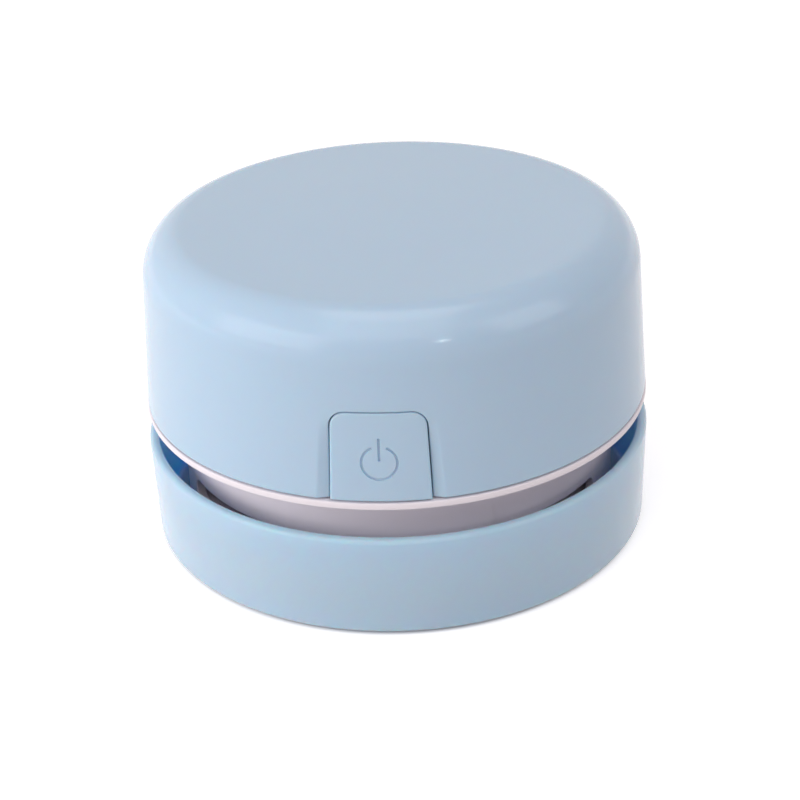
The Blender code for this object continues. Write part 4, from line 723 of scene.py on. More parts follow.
BUTTON_WIDTH_LOW = 15.8 * MM
BUTTON_WIDTH_HIGH = 14.8 * MM
BUTTON_CORNER = 2.4 * MM
BUTTON_THICKNESS = 1.8 * MM
BUTTON_EDGE_ROUND = 0.3 * MM
BUTTON_GAP = 0.17 * MM
BEND_SPACING = 0.5 * MM  # of the points that let a flat piece bend
BEND_RISE = 0.75 * MM
STEM_HEIGHT = middle_of("button_clip").z
STEM_RADIUS = 2.0 * MM
MARK_BELOW_STEM = 1.0 * MM
MARK_BAR_ABOVE = 1.35 * MM  # the bar's top above the circle's
MARK_STEPS = 48
GROOVE_RESOLUTION = 6
LIP_STEPS = 5
SCOOP_BELOW_TOP = 1.2 * MM  # where it fades out, below the button's top
SCOOP_TAPER = 0.35  # share of its width that a hollow loses towards its top
SCOOP_FADE = 0.03  # share of the scoop's width over which its outer edge turns
CAP_RING_SPACING = 0.6 * MM
DOME_STEPS = 8
SHOULDER_STEPS = 24
CORNER_STEPS = 10


def mirrored(points):
    return [(-x, height) for x, height in reversed(points)]


def button_outline(margin, bottom):
    """The button's outline in x and height, grown by a margin, with the points that a bend needs."""
    top, corner = BUTTON_TOP + margin, BUTTON_CORNER + margin
    half_low, half_high = BUTTON_WIDTH_LOW / 2 + margin, BUTTON_WIDTH_HIGH / 2 + margin
    right = arc((half_high - corner, top - corner), corner, corner, 0, 1, CORNER_STEPS)
    count = round(2 * (half_high - corner) / BEND_SPACING)
    middle = [((half_high - corner) * (1 - 2 * k / count), top) for k in range(1, count)]
    rise = [
        (half_low + (half_high - half_low) * k / count, bottom + (top - corner - bottom) * k / count)
        for k in range(count)
    ]
    return [*rise, *right, *middle, *mirrored([*rise, *right])]


def cap_section():
    centre = (CAP_SHOULDER - SHOULDER_ACROSS, SHOULDER_BOTTOM)
    shares = [k / DOME_STEPS for k in range(DOME_STEPS)]
    dome = [(centre[0] * share, CAP_TOP - CAP_DOME * (1 - math.cos(math.pi * share)) / 2) for share in shares]
    shoulder = arc(centre, SHOULDER_ACROSS, SHOULDER_DOWN, 1, 0, SHOULDER_STEPS)
    rings = round((SHOULDER_BOTTOM - CAP_BOTTOM) / CAP_RING_SPACING)
    wall = [CAP_BOTTOM + (SHOULDER_BOTTOM - CAP_BOTTOM) * k / rings for k in range(rings - 1, 0, -1)]
    outer = [(cap_radius(height), height) for height in wall]
    heel = rounded([
        (*outer[-1], 0),
        (CAP_HEEL, CAP_BOTTOM, 0.3),
        (CAP_HEEL - CAP_WALL, CAP_BOTTOM, 0.2),
        (CAP_SHOULDER - CAP_WALL, SHOULDER_BOTTOM, 0),
    ], closed=False)[1:]
    inside = arc(centre, SHOULDER_ACROSS - CAP_WALL, SHOULDER_DOWN - CAP_WALL, 0, 1, CORNER_STEPS)[1:]
    return [*dome, *shoulder, *outer, *heel, *inside, (0, SHOULDER_BOTTOM + SHOULDER_DOWN - CAP_WALL)]


def lipped_cutter(name, outline, lip, reach, radius_at, outside=OVERRUN):
    """A cutter with this outline at its inner end, flared at the surface, so that it leaves a rounded lip."""
    obj = drawn_face(name, [(x, 0, height) for x, height in outline(lip)])
    bpy.ops.transform.translate(value=(0, -outside, 0))
    push(outside)
    for k in range(LIP_STEPS):
        last, angle = QUARTER * k / LIP_STEPS, QUARTER * (k + 1) / LIP_STEPS
        bpy.ops.mesh.inset(thickness=lip * (math.sin(angle) - math.sin(last)), depth=0)
        bpy.ops.transform.translate(value=(0, lip * (math.cos(last) - math.cos(angle)), 0))
    push(reach)
    return wrap(clean(obj), radius_at)


def press_scoops(obj, settings):
    """Presses the hollows beside the button into the wall: deep at the foot, fading out upwards."""
    scoop_top = BUTTON_TOP - SCOOP_BELOW_TOP
    for vert in obj.data.vertices:
        x, y, height = vert.co
        angle = math.atan2(x, -y)
        inside = cap_radius(height) - math.hypot(x, y) > CAP_WALL / 2
        if abs(angle) > FRONT_HALF_ANGLE or height > scoop_top or inside:
            continue
        share = (height - CAP_BOTTOM) / (scoop_top - CAP_BOTTOM)
        edge = BUTTON_WIDTH_LOW / 2 + (BUTTON_WIDTH_HIGH - BUTTON_WIDTH_LOW) / 2 * share + BUTTON_GAP
        width = settings.scoop_width * (1 - SCOOP_TAPER * share) + BUTTON_GAP
        near = (edge + width - abs(angle) * cap_radius(height)) / width
        if near > 0:
            near = min(near, 1.0)
            vert.co.y += settings.scoop_depth * (1 - share**3) * near**2 / (near + SCOOP_FADE)


class VACUUM_OT_cap(Operator):
    """Turn the cap, cut the button's opening with a rounded lip and press the hollows beside it"""

    bl_idname = "desk_vacuum.cap"
    bl_label = "Cap"

    def execute(self, context):
        settings = context.scene.desk_vacuum_shell
        cap = turned("cap_shell", cap_section(), SHELL_STEPS, fine_front=True)

        def outline(margin):
            return button_outline(BUTTON_GAP + margin, CAP_BOTTOM - 2 * OVERRUN)

        cut(cap, lipped_cutter("cap_opening", outline, settings.lip_round, 4 * CAP_WALL, cap_radius))
        press_scoops(cap, settings)
        stand_for(clean(cap), "cap", "blue_gloss", "cap")
        return {"FINISHED"}


def engrave(obj, name, points, width, depth):
    """Cuts a round-bottomed groove along points of x and height into a flat plate's face."""
    radius = (width**2 / 4 + depth**2) / (2 * depth)
    route = [(x, depth - radius, height) for x, height in points]
    return cut(obj, tubes(name, [route], radius, GROOVE_RESOLUTION))


def round_face_edges(obj, size):
    """Bevels the outline of the face that a flat piece has at no depth."""
    edit(obj)
    bpy.ops.mesh.select_all(action="DESELECT")
    leave_edit_mode()
    on_face = [abs(vert.co.y) < MERGE_DISTANCE for vert in obj.data.vertices]
    for edge in obj.data.edges:
        edge.select = all(on_face[index] for index in edge.vertices)
    for vert in obj.data.vertices:
        vert.select = on_face[vert.index]
    bpy.ops.object.mode_set(mode="EDIT")
    bpy.ops.mesh.bevel(offset=size, segments=4, affect="EDGES")
    leave_edit_mode()


def grid_cuts(obj, across, up):
    """Cuts a flat piece every so far in x and in height, so that it can bend."""
    lowest, highest = (Vector(obj.bound_box[corner]) for corner in (0, 6))
    edit(obj)
    for axis, step in ((0, across), (2, up)):
        normal, place = Vector(), Vector()
        normal[axis] = 1
        count = math.ceil((highest[axis] - lowest[axis]) / step)
        for k in range(1, count):
            place[axis] = lowest[axis] + (highest[axis] - lowest[axis]) * k / count
            bpy.ops.mesh.select_all(action="SELECT")
            bpy.ops.mesh.bisect(plane_co=place, plane_no=normal)
    leave_edit_mode()


class VACUUM_OT_button(Operator):
    """Make the push button flat, engrave the power mark, bend it to the cap's wall and add its stem"""

    bl_idname = "desk_vacuum.button"
    bl_label = "Power button"

    def execute(self, context):
        mark = context.scene.desk_vacuum_mark
        outline = button_outline(0, BUTTON_BOTTOM)
        button = drawn_face("button_plate", [(x, 0, height) for x, height in outline])
        push(BUTTON_THICKNESS)
        clean(button)
        round_face_edges(button, BUTTON_EDGE_ROUND)
        grid_cuts(button, BEND_SPACING, BEND_RISE)
        centre = STEM_HEIGHT - MARK_BELOW_STEM
        circle = []
        for k in range(MARK_STEPS + 1):
            angle = mark.gap + (TURN - 2 * mark.gap) * k / MARK_STEPS
            circle.append((mark.radius * math.sin(angle), centre + mark.radius * math.cos(angle)))
        bar_top = centre + mark.radius + MARK_BAR_ABOVE
        bar = [(0, bar_top), (0, bar_top - mark.bar)]
        for name, points in (("mark_circle", circle), ("mark_bar", bar)):
            engrave(button, name, points, mark.line, mark.depth)
        wrap(button, cap_radius)
        stem_top = cap_radius(STEM_HEIGHT) - BUTTON_THICKNESS / 2
        stem = rod_object("button_stem", 0, 0, STEM_RADIUS, 0, stem_top + STEM_END, 0.3)
        join(button, settle(stem, (0, STEM_END, STEM_HEIGHT), (QUARTER, 0, 0)))
        stand_for(clean(button), "button", "blue_gloss", "power_button")
        return {"FINISHED"}


# The chassis and the dust tray

SKIRT_WALL = 1.5 * MM
SKIRT_INNER = DECK_RADIUS + FIT_GAP
SKIRT_RADIUS = SKIRT_INNER + SKIRT_WALL
BAND_TOP = CAP_BOTTOM - FIT_GAP
BAND_HEIGHT = 1.2 * MM
BAND_BOTTOM = BAND_TOP - BAND_HEIGHT
COLLAR_WALL = 1.5 * MM
COLLAR_TAPER = CAP_DRAFT * (COLLAR_TOP - BAND_TOP) / (SHOULDER_BOTTOM - CAP_BOTTOM)
COLLAR_RADIUS = CAP_HEEL - CAP_WALL - COLLAR_TAPER - FIT_GAP
COLLAR_INNER = COLLAR_RADIUS - COLLAR_WALL
LEDGE_TOP = DECK_BOTTOM - FIT_GAP
LEDGE_BOTTOM = LEDGE_TOP - 0.6 * MM
LEDGE_INNER = SKIRT_INNER - 1.0 * MM
SLOT_COUNT = 4
SLOT_HALF_ANGLE = math.radians(19)
SLOT_CENTRE_ANGLE = math.radians(45)
SLOT_HEIGHT = 3.7 * MM
SLOT_TOP = DECK_BOTTOM - 1.0 * MM
SLOT_LIP = 0.3 * MM
SLOT_LIP_OUTSIDE = 0.01 * MM  # clear of the wall's facets
SLOT_CUT_START = 4.0 * MM  # outside the wall, more than the arc of a slot bulges over its chord
SLOT_SPANS = 20  # along its straight edges
SLOT_END_STEPS = 12


def slot_outline(margin):
    """The outline of an exhaust slot in x and height about its own middle, with round ends."""
    half = SLOT_HEIGHT / 2 + margin
    centre = SLOT_TOP - SLOT_HEIGHT / 2
    straight = SLOT_HALF_ANGLE * SKIRT_RADIUS - SLOT_HEIGHT / 2
    right = [(straight + x, z) for x, z in arc((0, centre), half, half, -1, 1, SLOT_END_STEPS)]
    above = [(straight * (1 - 2 * k / SLOT_SPANS), centre + half) for k in range(1, SLOT_SPANS)]
    below = [(-x, centre - half) for x, z in above]
    return [*right, *above, *mirrored(right), *below]


def slot_radius(height):
    """The wall that the slots are cut in is upright, so it's the same at each height."""
    return SKIRT_RADIUS + SLOT_LIP_OUTSIDE


class VACUUM_OT_chassis(Operator):
    """Turn the white chassis with its band, and cut the exhaust slots and the notch behind the button"""

    bl_idname = "desk_vacuum.chassis"
    bl_label = "Chassis"

    def execute(self, context):
        chassis = moulded("chassis_shell", SHELL_STEPS, [
            (COLLAR_INNER, COLLAR_TOP, 0.3),
            (COLLAR_RADIUS, COLLAR_TOP, 0.4),
            (COLLAR_RADIUS, BAND_TOP, 0.1),
            (BAND_RADIUS, BAND_TOP, 0.3),
            (BAND_RADIUS, BAND_BOTTOM, 0.35),
            (SKIRT_RADIUS, BAND_BOTTOM, 1.2),
            (SKIRT_RADIUS, SKIRT_BOTTOM, 0.3),
            (SKIRT_INNER, SKIRT_BOTTOM, 0.3),
            (SKIRT_INNER, LEDGE_BOTTOM, 0.1),
            (LEDGE_INNER, LEDGE_BOTTOM, 0.15),
            (LEDGE_INNER, LEDGE_TOP, 0.15),
            (SKIRT_INNER, LEDGE_TOP, 0.05),
            (SKIRT_INNER, BAND_TOP, 0.4),
            (COLLAR_INNER, BAND_TOP, 0.2),
        ])
        slot = lipped_cutter("slot", slot_outline, SLOT_LIP, 3 * SKIRT_WALL, slot_radius, SLOT_CUT_START)
        for cutter in ring_of(slot, SLOT_COUNT, SLOT_CENTRE_ANGLE):
            cut(chassis, cutter)
        half = BUTTON_WIDTH_LOW / 2 + FIT_GAP
        far = (half, 2 * OVERRUN - COLLAR_INNER, COLLAR_TOP + OVERRUN)
        cut(chassis, box_object("collar_notch", (-half, -BAND_RADIUS, BAND_TOP), far))
        stand_for(clean(chassis), "upper_body", "white_plastic", "chassis")
        return {"FINISHED"}


RING_DRAFT = 0.45 * MM
RING_WALL = 1.6 * MM
RING_HEEL = RING_RIM - RING_DRAFT
FLOOR_THICKNESS = 1.6 * MM
FLOOR_TOP = RING_BOTTOM + FLOOR_THICKNESS
RING_INNER = RING_HEEL - RING_WALL + RING_DRAFT / (RING_TOP - RING_BOTTOM) * FLOOR_THICKNESS
RECESS_RADIUS = 21.0 * MM
RECESS_OUTER = RECESS_RADIUS + FLOOR_THICKNESS
RECESS_CEILING = RING_BOTTOM + 2.0 * MM
RAISED_FLOOR_TOP = RECESS_CEILING + FLOOR_THICKNESS
THROAT_RADIUS = 8.0 * MM
THROAT_OUTER = THROAT_RADIUS + 1.2 * MM
THROAT_TOP = RAISED_FLOOR_TOP + 1.0 * MM
CUP_TOP = FLOOR_TOP + 5.0 * MM
CUP_RADIUS = SKIRT_INNER - 0.9 * MM
CUP_INNER = CUP_RADIUS - 1.6 * MM
SEAL_HEIGHT = middle_of("seal_ring").z
GROOVE_TOP = SEAL_HEIGHT + 0.8 * MM
GROOVE_BOTTOM = SEAL_HEIGHT - 0.8 * MM
GROOVE_INNER = CUP_RADIUS - 0.7 * MM
FOOT_RADIUS = 3.5 * MM
FEET = ("foot_1", "foot_2", "foot_3", "foot_4")
BRUSH_RADIUS = 14.5 * MM
BRUSH_WIDTH = 3.0 * MM
BRUSH_HALF_ANGLE = math.radians(62)
BRUSH_GROOVE_DEPTH = 0.8 * MM


class VACUUM_OT_dust_tray(Operator):
    """Turn the blue tray with its ring wall, floor, cup wall and throat, and cut its pockets and grooves"""

    bl_idname = "desk_vacuum.dust_tray"
    bl_label = "Dust tray"

    def execute(self, context):
        tray = moulded("dust_tray_shell", SHELL_STEPS, [
            (RING_RIM - RING_WALL, RING_TOP, 0.5),
            (RING_RIM, RING_TOP, 0.8),
            (RING_HEEL, RING_BOTTOM, 0.6),
            (RECESS_RADIUS, RING_BOTTOM, 0.4),
            (RECESS_RADIUS, RECESS_CEILING, 0.4),
            (THROAT_RADIUS, RECESS_CEILING, 0.6),
            (THROAT_RADIUS, THROAT_TOP, 0.3),
            (THROAT_OUTER, THROAT_TOP, 0.3),
            (THROAT_OUTER, RAISED_FLOOR_TOP, 0.4),
            (RECESS_OUTER, RAISED_FLOOR_TOP, 0.6),
            (RECESS_OUTER, FLOOR_TOP, 0.5),
            (CUP_INNER, FLOOR_TOP, 0.6),
            (CUP_INNER, CUP_TOP, 0.3),
            (CUP_RADIUS, CUP_TOP, 0.3),
            (CUP_RADIUS, GROOVE_TOP, 0.1),
            (GROOVE_INNER, GROOVE_TOP, 0.1),
            (GROOVE_INNER, GROOVE_BOTTOM, 0.1),
            (CUP_RADIUS, GROOVE_BOTTOM, 0.1),
            (CUP_RADIUS, FLOOR_TOP, 0.3),
            (RING_INNER, FLOOR_TOP, 1.0),
        ], round_steps=5)
        pocket_top = high(FEET[0]).z + FIT_GAP
        for x, y, height in map(middle_of, FEET):
            cut(tray, rod_object("foot_pocket", x, y, FOOT_RADIUS + FIT_GAP, -OVERRUN, pocket_top, 0.2))
        half = BRUSH_WIDTH / 2 + FIT_GAP
        near, far = BRUSH_RADIUS - half, BRUSH_RADIUS + half
        bottom, top = RECESS_CEILING - OVERRUN, RECESS_CEILING + BRUSH_GROOVE_DEPTH
        corners = [(near, bottom), (far, bottom), (far, top), (near, top)]
        angle = BRUSH_HALF_ANGLE + FIT_GAP / BRUSH_RADIUS
        for side in (-1, 1):
            cut(tray, arc_bar("brush_groove", corners, side * QUARTER, angle, PLAIN_STEPS))
        stand_for(clean(tray), "base", "blue_gloss", "dust_tray", finish="blue_tray")
        return {"FINISHED"}


# The works inside: deck, fan, motor, cells, switch and leads

DECK_TOP = DECK_BOTTOM + 2.0 * MM
DECK_HOLE_RADIUS = 4.0 * MM
POST_RADIUS = 2.3 * MM
POST_FOOT = 1.1 * MM  # width of the cone round the foot of a post
POST_STEPS = 32
PILOT_RADIUS = 0.85 * MM
PILOT_DEPTH = 6.0 * MM
MOTOR_RADIUS, MOTOR_BOTTOM, MOTOR_TOP = extent("motor_can")
SEAT_INNER = MOTOR_RADIUS + FIT_GAP
SEAT_OUTER = SEAT_INNER + 1.5 * MM
SEAT_TOP = DECK_TOP + 3.0 * MM
RIB_COUNT = 8
RIB_HALF_WIDTH = 0.5 * MM
RIB_HEIGHT = 1.3 * MM
RIB_ROOT = 0.5 * MM
RIB_END = DECK_RADIUS - 2.0 * MM
POSTS = {  # the piece that a pair of posts carries: its screws
    "battery_tray": ("tray_screw_left", "tray_screw_right"),
    "motor_clamp": ("clamp_screw_front", "clamp_screw_back"),
    "switch_board": ("board_screw_left", "board_screw_right"),
    "button_guide": ("guide_screw_left", "guide_screw_right"),
}


class VACUUM_OT_deck(Operator):
    """Turn the white deck with the motor's seat, and raise its ribs and screw posts"""

    bl_idname = "desk_vacuum.deck"
    bl_label = "Motor deck"

    def execute(self, context):
        deck = moulded("motor_deck_shell", PLAIN_STEPS, [
            (SEAT_INNER, SEAT_TOP, 0.3),
            (SEAT_OUTER, SEAT_TOP, 0.3),
            (SEAT_OUTER, DECK_TOP, 0.6),
            (DECK_RADIUS, DECK_TOP, 0.3),
            (DECK_RADIUS, DECK_BOTTOM, 0.3),
            (DECK_HOLE_RADIUS, DECK_BOTTOM, 0.3),
            (DECK_HOLE_RADIUS, DECK_TOP, 0.2),
            (SEAT_INNER, DECK_TOP, 0.2),
        ])
        near = (SEAT_OUTER - RIB_ROOT, -RIB_HALF_WIDTH, DECK_TOP - RIB_ROOT)
        rib = box_object("rib", near, (RIB_END, RIB_HALF_WIDTH, DECK_TOP + RIB_HEIGHT), 0.2)
        join(deck, merged("ribs", ring_of(rib, RIB_COUNT, TURN / 2 / RIB_COUNT)))
        root, foot = (DECK_BOTTOM + DECK_TOP) / 2, POST_RADIUS + POST_FOOT
        posts, pilots = [], []
        for carried, screws in POSTS.items():
            top = low(carried).z - FIT_GAP
            section = rounded([
                (0, top, 0),
                (POST_RADIUS, top, 0.25),
                (POST_RADIUS, DECK_TOP + POST_FOOT / 2, 0.3),
                (foot, DECK_TOP - POST_FOOT / 2, 0),
                (foot, root, 0),
                (0, root, 0),
            ], closed=False)
            for screw in screws:
                x, y, height = middle_of(screw)
                posts.append(settle(turned("post", section, POST_STEPS), (x, y, 0), (0, 0, ODD_TURN)))
                ends = (top - PILOT_DEPTH, top + OVERRUN)
                pilots.append(rod_object("pilot", x, y, PILOT_RADIUS, *ends, 0, HOLE_STEPS))
        join(deck, merged("posts", posts))
        cut(clean(deck), merged("pilots", pilots))
        stand_for(clean(deck), "upper_body", "white_plastic", "motor_deck")
        return {"FINISHED"}


INLET_RADIUS, INLET_BOTTOM, INLET_TOP = extent("fan_inlet_plate")
FAN_RADIUS, FAN_BOTTOM, FAN_TOP = extent("impeller")
EYE_RADIUS = 9.0 * MM
EYE_FLARE = 0.8 * MM
FAN_DISC_BOTTOM = FAN_TOP - 0.8 * MM
FAN_HUB_RADIUS = 3.6 * MM
FAN_HUB_TIP = FAN_HUB_RADIUS - 0.3 * MM
BORE_RADIUS = high("motor_shaft").x + 0.02 * MM
BLADE_COUNT = 8
BLADE_STEPS = 14
BLADE_HALF = 0.45 * MM
BLADE_START = 8.5 * MM
BLADE_SWEEP = math.radians(48)
BLADE_BOTTOM = INLET_TOP + 0.6 * MM
BLADE_TOP = FAN_DISC_BOTTOM + 0.4 * MM  # inside the disc
FINE_EDGE = 0.15 * MM


class VACUUM_OT_fan(Operator):
    """Make the inlet plate with its rounded eye, and the impeller with its swept blades"""

    bl_idname = "desk_vacuum.fan"
    bl_label = "Fan"

    def execute(self, context):
        inlet = moulded("fan_inlet", PLAIN_STEPS, [
            (EYE_RADIUS - EYE_FLARE, INLET_TOP, 0.1),
            (INLET_RADIUS, INLET_TOP, 0.25),
            (INLET_RADIUS, INLET_BOTTOM, 0.25),
            (EYE_RADIUS, INLET_BOTTOM, 0.8),
        ], round_steps=6)
        stand_for(inlet, "upper_body", "white_plastic", "fan_inlet_plate")

        impeller = moulded("impeller_wheel", PLAIN_STEPS, [
            (BORE_RADIUS, FAN_TOP, 0.1),
            (FAN_RADIUS, FAN_TOP, 0.2),
            (FAN_RADIUS, FAN_DISC_BOTTOM, 0.2),
            (FAN_HUB_RADIUS, FAN_DISC_BOTTOM, 0.9),
            (FAN_HUB_TIP, FAN_BOTTOM, 0.4),
            (BORE_RADIUS, FAN_BOTTOM, 0.1),
        ])
        middle = []
        for k in range(BLADE_STEPS + 1):
            share = k / BLADE_STEPS
            radius = BLADE_START + (FAN_RADIUS - BLADE_HALF - BLADE_START) * share
            middle.append(on_axis(-BLADE_SWEEP * share, radius, 0))
        left, right = [], []
        for k, point in enumerate(middle):
            along = (middle[min(k + 1, BLADE_STEPS)] - middle[max(k - 1, 0)]).normalized()
            across = Vector((-along.y, along.x, 0)) * BLADE_HALF
            left.append((point + across)[:2])
            right.append((point - across)[:2])
        blade = bevel(plate("blade", [*left, *reversed(right)], BLADE_BOTTOM, BLADE_TOP), FINE_EDGE)
        join(impeller, merged("blades", ring_of(blade, BLADE_COUNT)))
        stand_for(clean(impeller), "rotor", "white_plastic", "impeller")
        return {"FINISHED"}


CAN_WALL = 0.8 * MM
CAN_INNER = MOTOR_RADIUS - CAN_WALL
CAN_FLOOR = MOTOR_BOTTOM + CAN_WALL
BUSH_HOLE = high("motor_bush").x + FIT_GAP
END_CAP_RADIUS, END_CAP_BOTTOM, END_CAP_TOP = extent("motor_end_cap")
CRIMP_COUNT = 4
CRIMP_HALF = 1.1 * MM
CRIMP_BOTTOM = MOTOR_TOP - 0.35 * MM
VENT_REACH = 6.2 * MM
VENT_RADIUS = 1.3 * MM
CLAMP_LOW, CLAMP_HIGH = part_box("motor_clamp")
CLAMP_CORNER = 1.6 * MM
CLAMP_CORNER_STEPS = 5
CLAMP_HOLE_RADIUS = 3.2 * MM
SCREW_HOLE_RADIUS = 1.1 * MM


class VACUUM_OT_motor(Operator):
    """Draw the steel can with its crimped rim, the black end cap, the terminals and the clamp bar"""

    bl_idname = "desk_vacuum.motor"
    bl_label = "Motor"

    def execute(self, context):
        can = moulded("motor_housing", PLAIN_STEPS, [
            (CAN_INNER, MOTOR_TOP, 0.15),
            (MOTOR_RADIUS, MOTOR_TOP, 0.35),
            (MOTOR_RADIUS, MOTOR_BOTTOM, 1.2),
            (BUSH_HOLE, MOTOR_BOTTOM, 0.3),
            (BUSH_HOLE, CAN_FLOOR, 0.1),
            (CAN_INNER, CAN_FLOOR, 0.6),
        ])
        near = (CAN_INNER - OVERRUN, -CRIMP_HALF, CRIMP_BOTTOM)
        crimp = box_object("crimp", near, (MOTOR_RADIUS + OVERRUN, CRIMP_HALF, MOTOR_TOP + OVERRUN))
        for notch in ring_of(crimp, CRIMP_COUNT, TURN / 2 / CRIMP_COUNT):
            cut(can, notch)
        stand_for(clean(can), "upper_body", "steel", "motor_can")

        end_cap = moulded("motor_end_disc", PLAIN_STEPS, [
            (BORE_RADIUS, END_CAP_TOP, 0.1),
            (END_CAP_RADIUS, END_CAP_TOP, 0.3),
            (END_CAP_RADIUS, END_CAP_BOTTOM, 0.2),
            (BORE_RADIUS, END_CAP_BOTTOM, 0.1),
        ])
        drill(end_cap, [(0, -VENT_REACH), (0, VENT_REACH)], VENT_RADIUS, END_CAP_BOTTOM, END_CAP_TOP)
        stand_for(clean(end_cap), "upper_body", "black_plastic", "motor_end_cap")

        for side in ("left", "right"):
            node = f"motor_terminal_{side}"
            tab = box_object(f"motor_tab_{side}", low(node), high(node), 0.12, 2)
            stand_for(clean(tab), "upper_body", "brass", node)

        half, reach = CLAMP_HIGH.x - CLAMP_CORNER, CLAMP_HIGH.y - CLAMP_CORNER
        outline = []
        for k, (x, y) in enumerate(((1, 1), (-1, 1), (-1, -1), (1, -1))):
            outline += arc((x * half, y * reach), CLAMP_CORNER, CLAMP_CORNER, k, k + 1, CLAMP_CORNER_STEPS)
        clamp = plate("motor_clamp_bar", outline, CLAMP_LOW.z, CLAMP_HIGH.z)
        offset = high("clamp_screw_back").y - SCREW_HEAD_RADIUS
        drill(clamp, [(0, -offset), (0, offset)], SCREW_HOLE_RADIUS, CLAMP_LOW.z, CLAMP_HIGH.z)
        ends = (CLAMP_LOW.z - OVERRUN, CLAMP_HIGH.z + OVERRUN)
        cut(clamp, rod_object("clamp_middle", 0, 0, CLAMP_HOLE_RADIUS, *ends, 0, POST_STEPS))
        stand_for(bevel(clamp, FINE_EDGE), "upper_body", "steel", "motor_clamp")
        return {"FINISHED"}


SCREWS = tuple(screw for pair in POSTS.values() for screw in pair)
SCREW_HEAD_RADIUS = (high(SCREWS[0]).x - low(SCREWS[0]).x) / 2
SCREW_HEAD_HEIGHT = 1.2 * MM
SCREW_LENGTH = high(SCREWS[0]).z - low(SCREWS[0]).z - SCREW_HEAD_HEIGHT
SCREW_SHANK_RADIUS = 0.7 * MM
SCREW_STEPS = 36
SCREW_ODD_TURN = math.radians(23)  # from each screw to the next, as no driver leaves them alike
SCREW_SMOOTH_ANGLE = math.radians(40)
RECESS_WIDTH, RECESS_REACH, RECESS_DEPTH = 0.42 * MM, 1.15 * MM, 0.55 * MM
THREAD_PITCH = 0.5 * MM
THREAD_DEPTH = 0.14 * MM
THREAD_CREST, THREAD_ROOT = 0.1, 0.55  # shares of the pitch


class VACUUM_OT_screws(Operator):
    """Turn one pan-head screw with its thread, cut its cross recess and copy it to every post"""

    bl_idname = "desk_vacuum.screws"
    bl_label = "Screws"

    def execute(self, context):
        head = rounded([
            (0, SCREW_HEAD_HEIGHT, 0),
            (SCREW_HEAD_RADIUS, SCREW_HEAD_HEIGHT, 0.7),
            (SCREW_HEAD_RADIUS, 0, 0.15),
            (SCREW_SHANK_RADIUS, 0, 0.1),
            (SCREW_SHANK_RADIUS, -THREAD_PITCH, 0),
        ], closed=False, steps=5)
        thread = []
        for k in range(round((SCREW_LENGTH - 2 * THREAD_PITCH) / THREAD_PITCH)):
            height = -THREAD_PITCH * (k + 1)
            thread.append((SCREW_SHANK_RADIUS, height - THREAD_PITCH * THREAD_CREST))
            thread.append((SCREW_SHANK_RADIUS - THREAD_DEPTH, height - THREAD_PITCH * THREAD_ROOT))
        tip = [(SCREW_SHANK_RADIUS, -SCREW_LENGTH + THREAD_PITCH), (0, -SCREW_LENGTH)]
        first = turned("screw_model", [*head, *thread, *tip], SCREW_STEPS)
        bottom, top = SCREW_HEAD_HEIGHT - RECESS_DEPTH, SCREW_HEAD_HEIGHT + OVERRUN
        for across, along in ((RECESS_WIDTH / 2, RECESS_REACH), (RECESS_REACH, RECESS_WIDTH / 2)):
            cut(first, box_object("recess", (-across, -along, bottom), (across, along, top)))
        clean(first)
        for k, node in enumerate(SCREWS):
            x, y, height = middle_of(node)
            place = (x, y, high(node).z - SCREW_HEAD_HEIGHT)
            screw = settle(copy_of(first, f"{node}_part"), place, (0, 0, SCREW_ODD_TURN * k))
            stand_for(screw, "upper_body", "steel", node, angle=SCREW_SMOOTH_ANGLE)
        remove(first)
        return {"FINISHED"}


TRAY_WALL = 1.4 * MM
TRAY_FLOOR = 1.2 * MM
TRAY_LOW, TRAY_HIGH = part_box("battery_tray")
TRAY_FLOOR_TOP = TRAY_LOW.z + TRAY_FLOOR
TRAY_RIB = (16.0 * MM, 0.8 * MM, 2.5 * MM)  # half its length, half its width, height
NOTCH_RADIUS = 5.5 * MM
NOTCH_ABOVE = 1.6 * MM  # its axis above the tray's edge
CELL_AXIS = middle_of("battery_front").z
CELL_OFFSET = middle_of("battery_back").y
CELL_RADIUS = (high("battery_back").z - low("battery_back").z) / 2
CELL_LENGTH = high("battery_back").x - low("battery_back").x
CONTACT_FACE = low("positive_contact").x
CONTACT_THICKNESS = high("positive_contact").x - CONTACT_FACE
TAB_WIDTH = 3.0 * MM
TAB_PLAY = 0.25 * MM


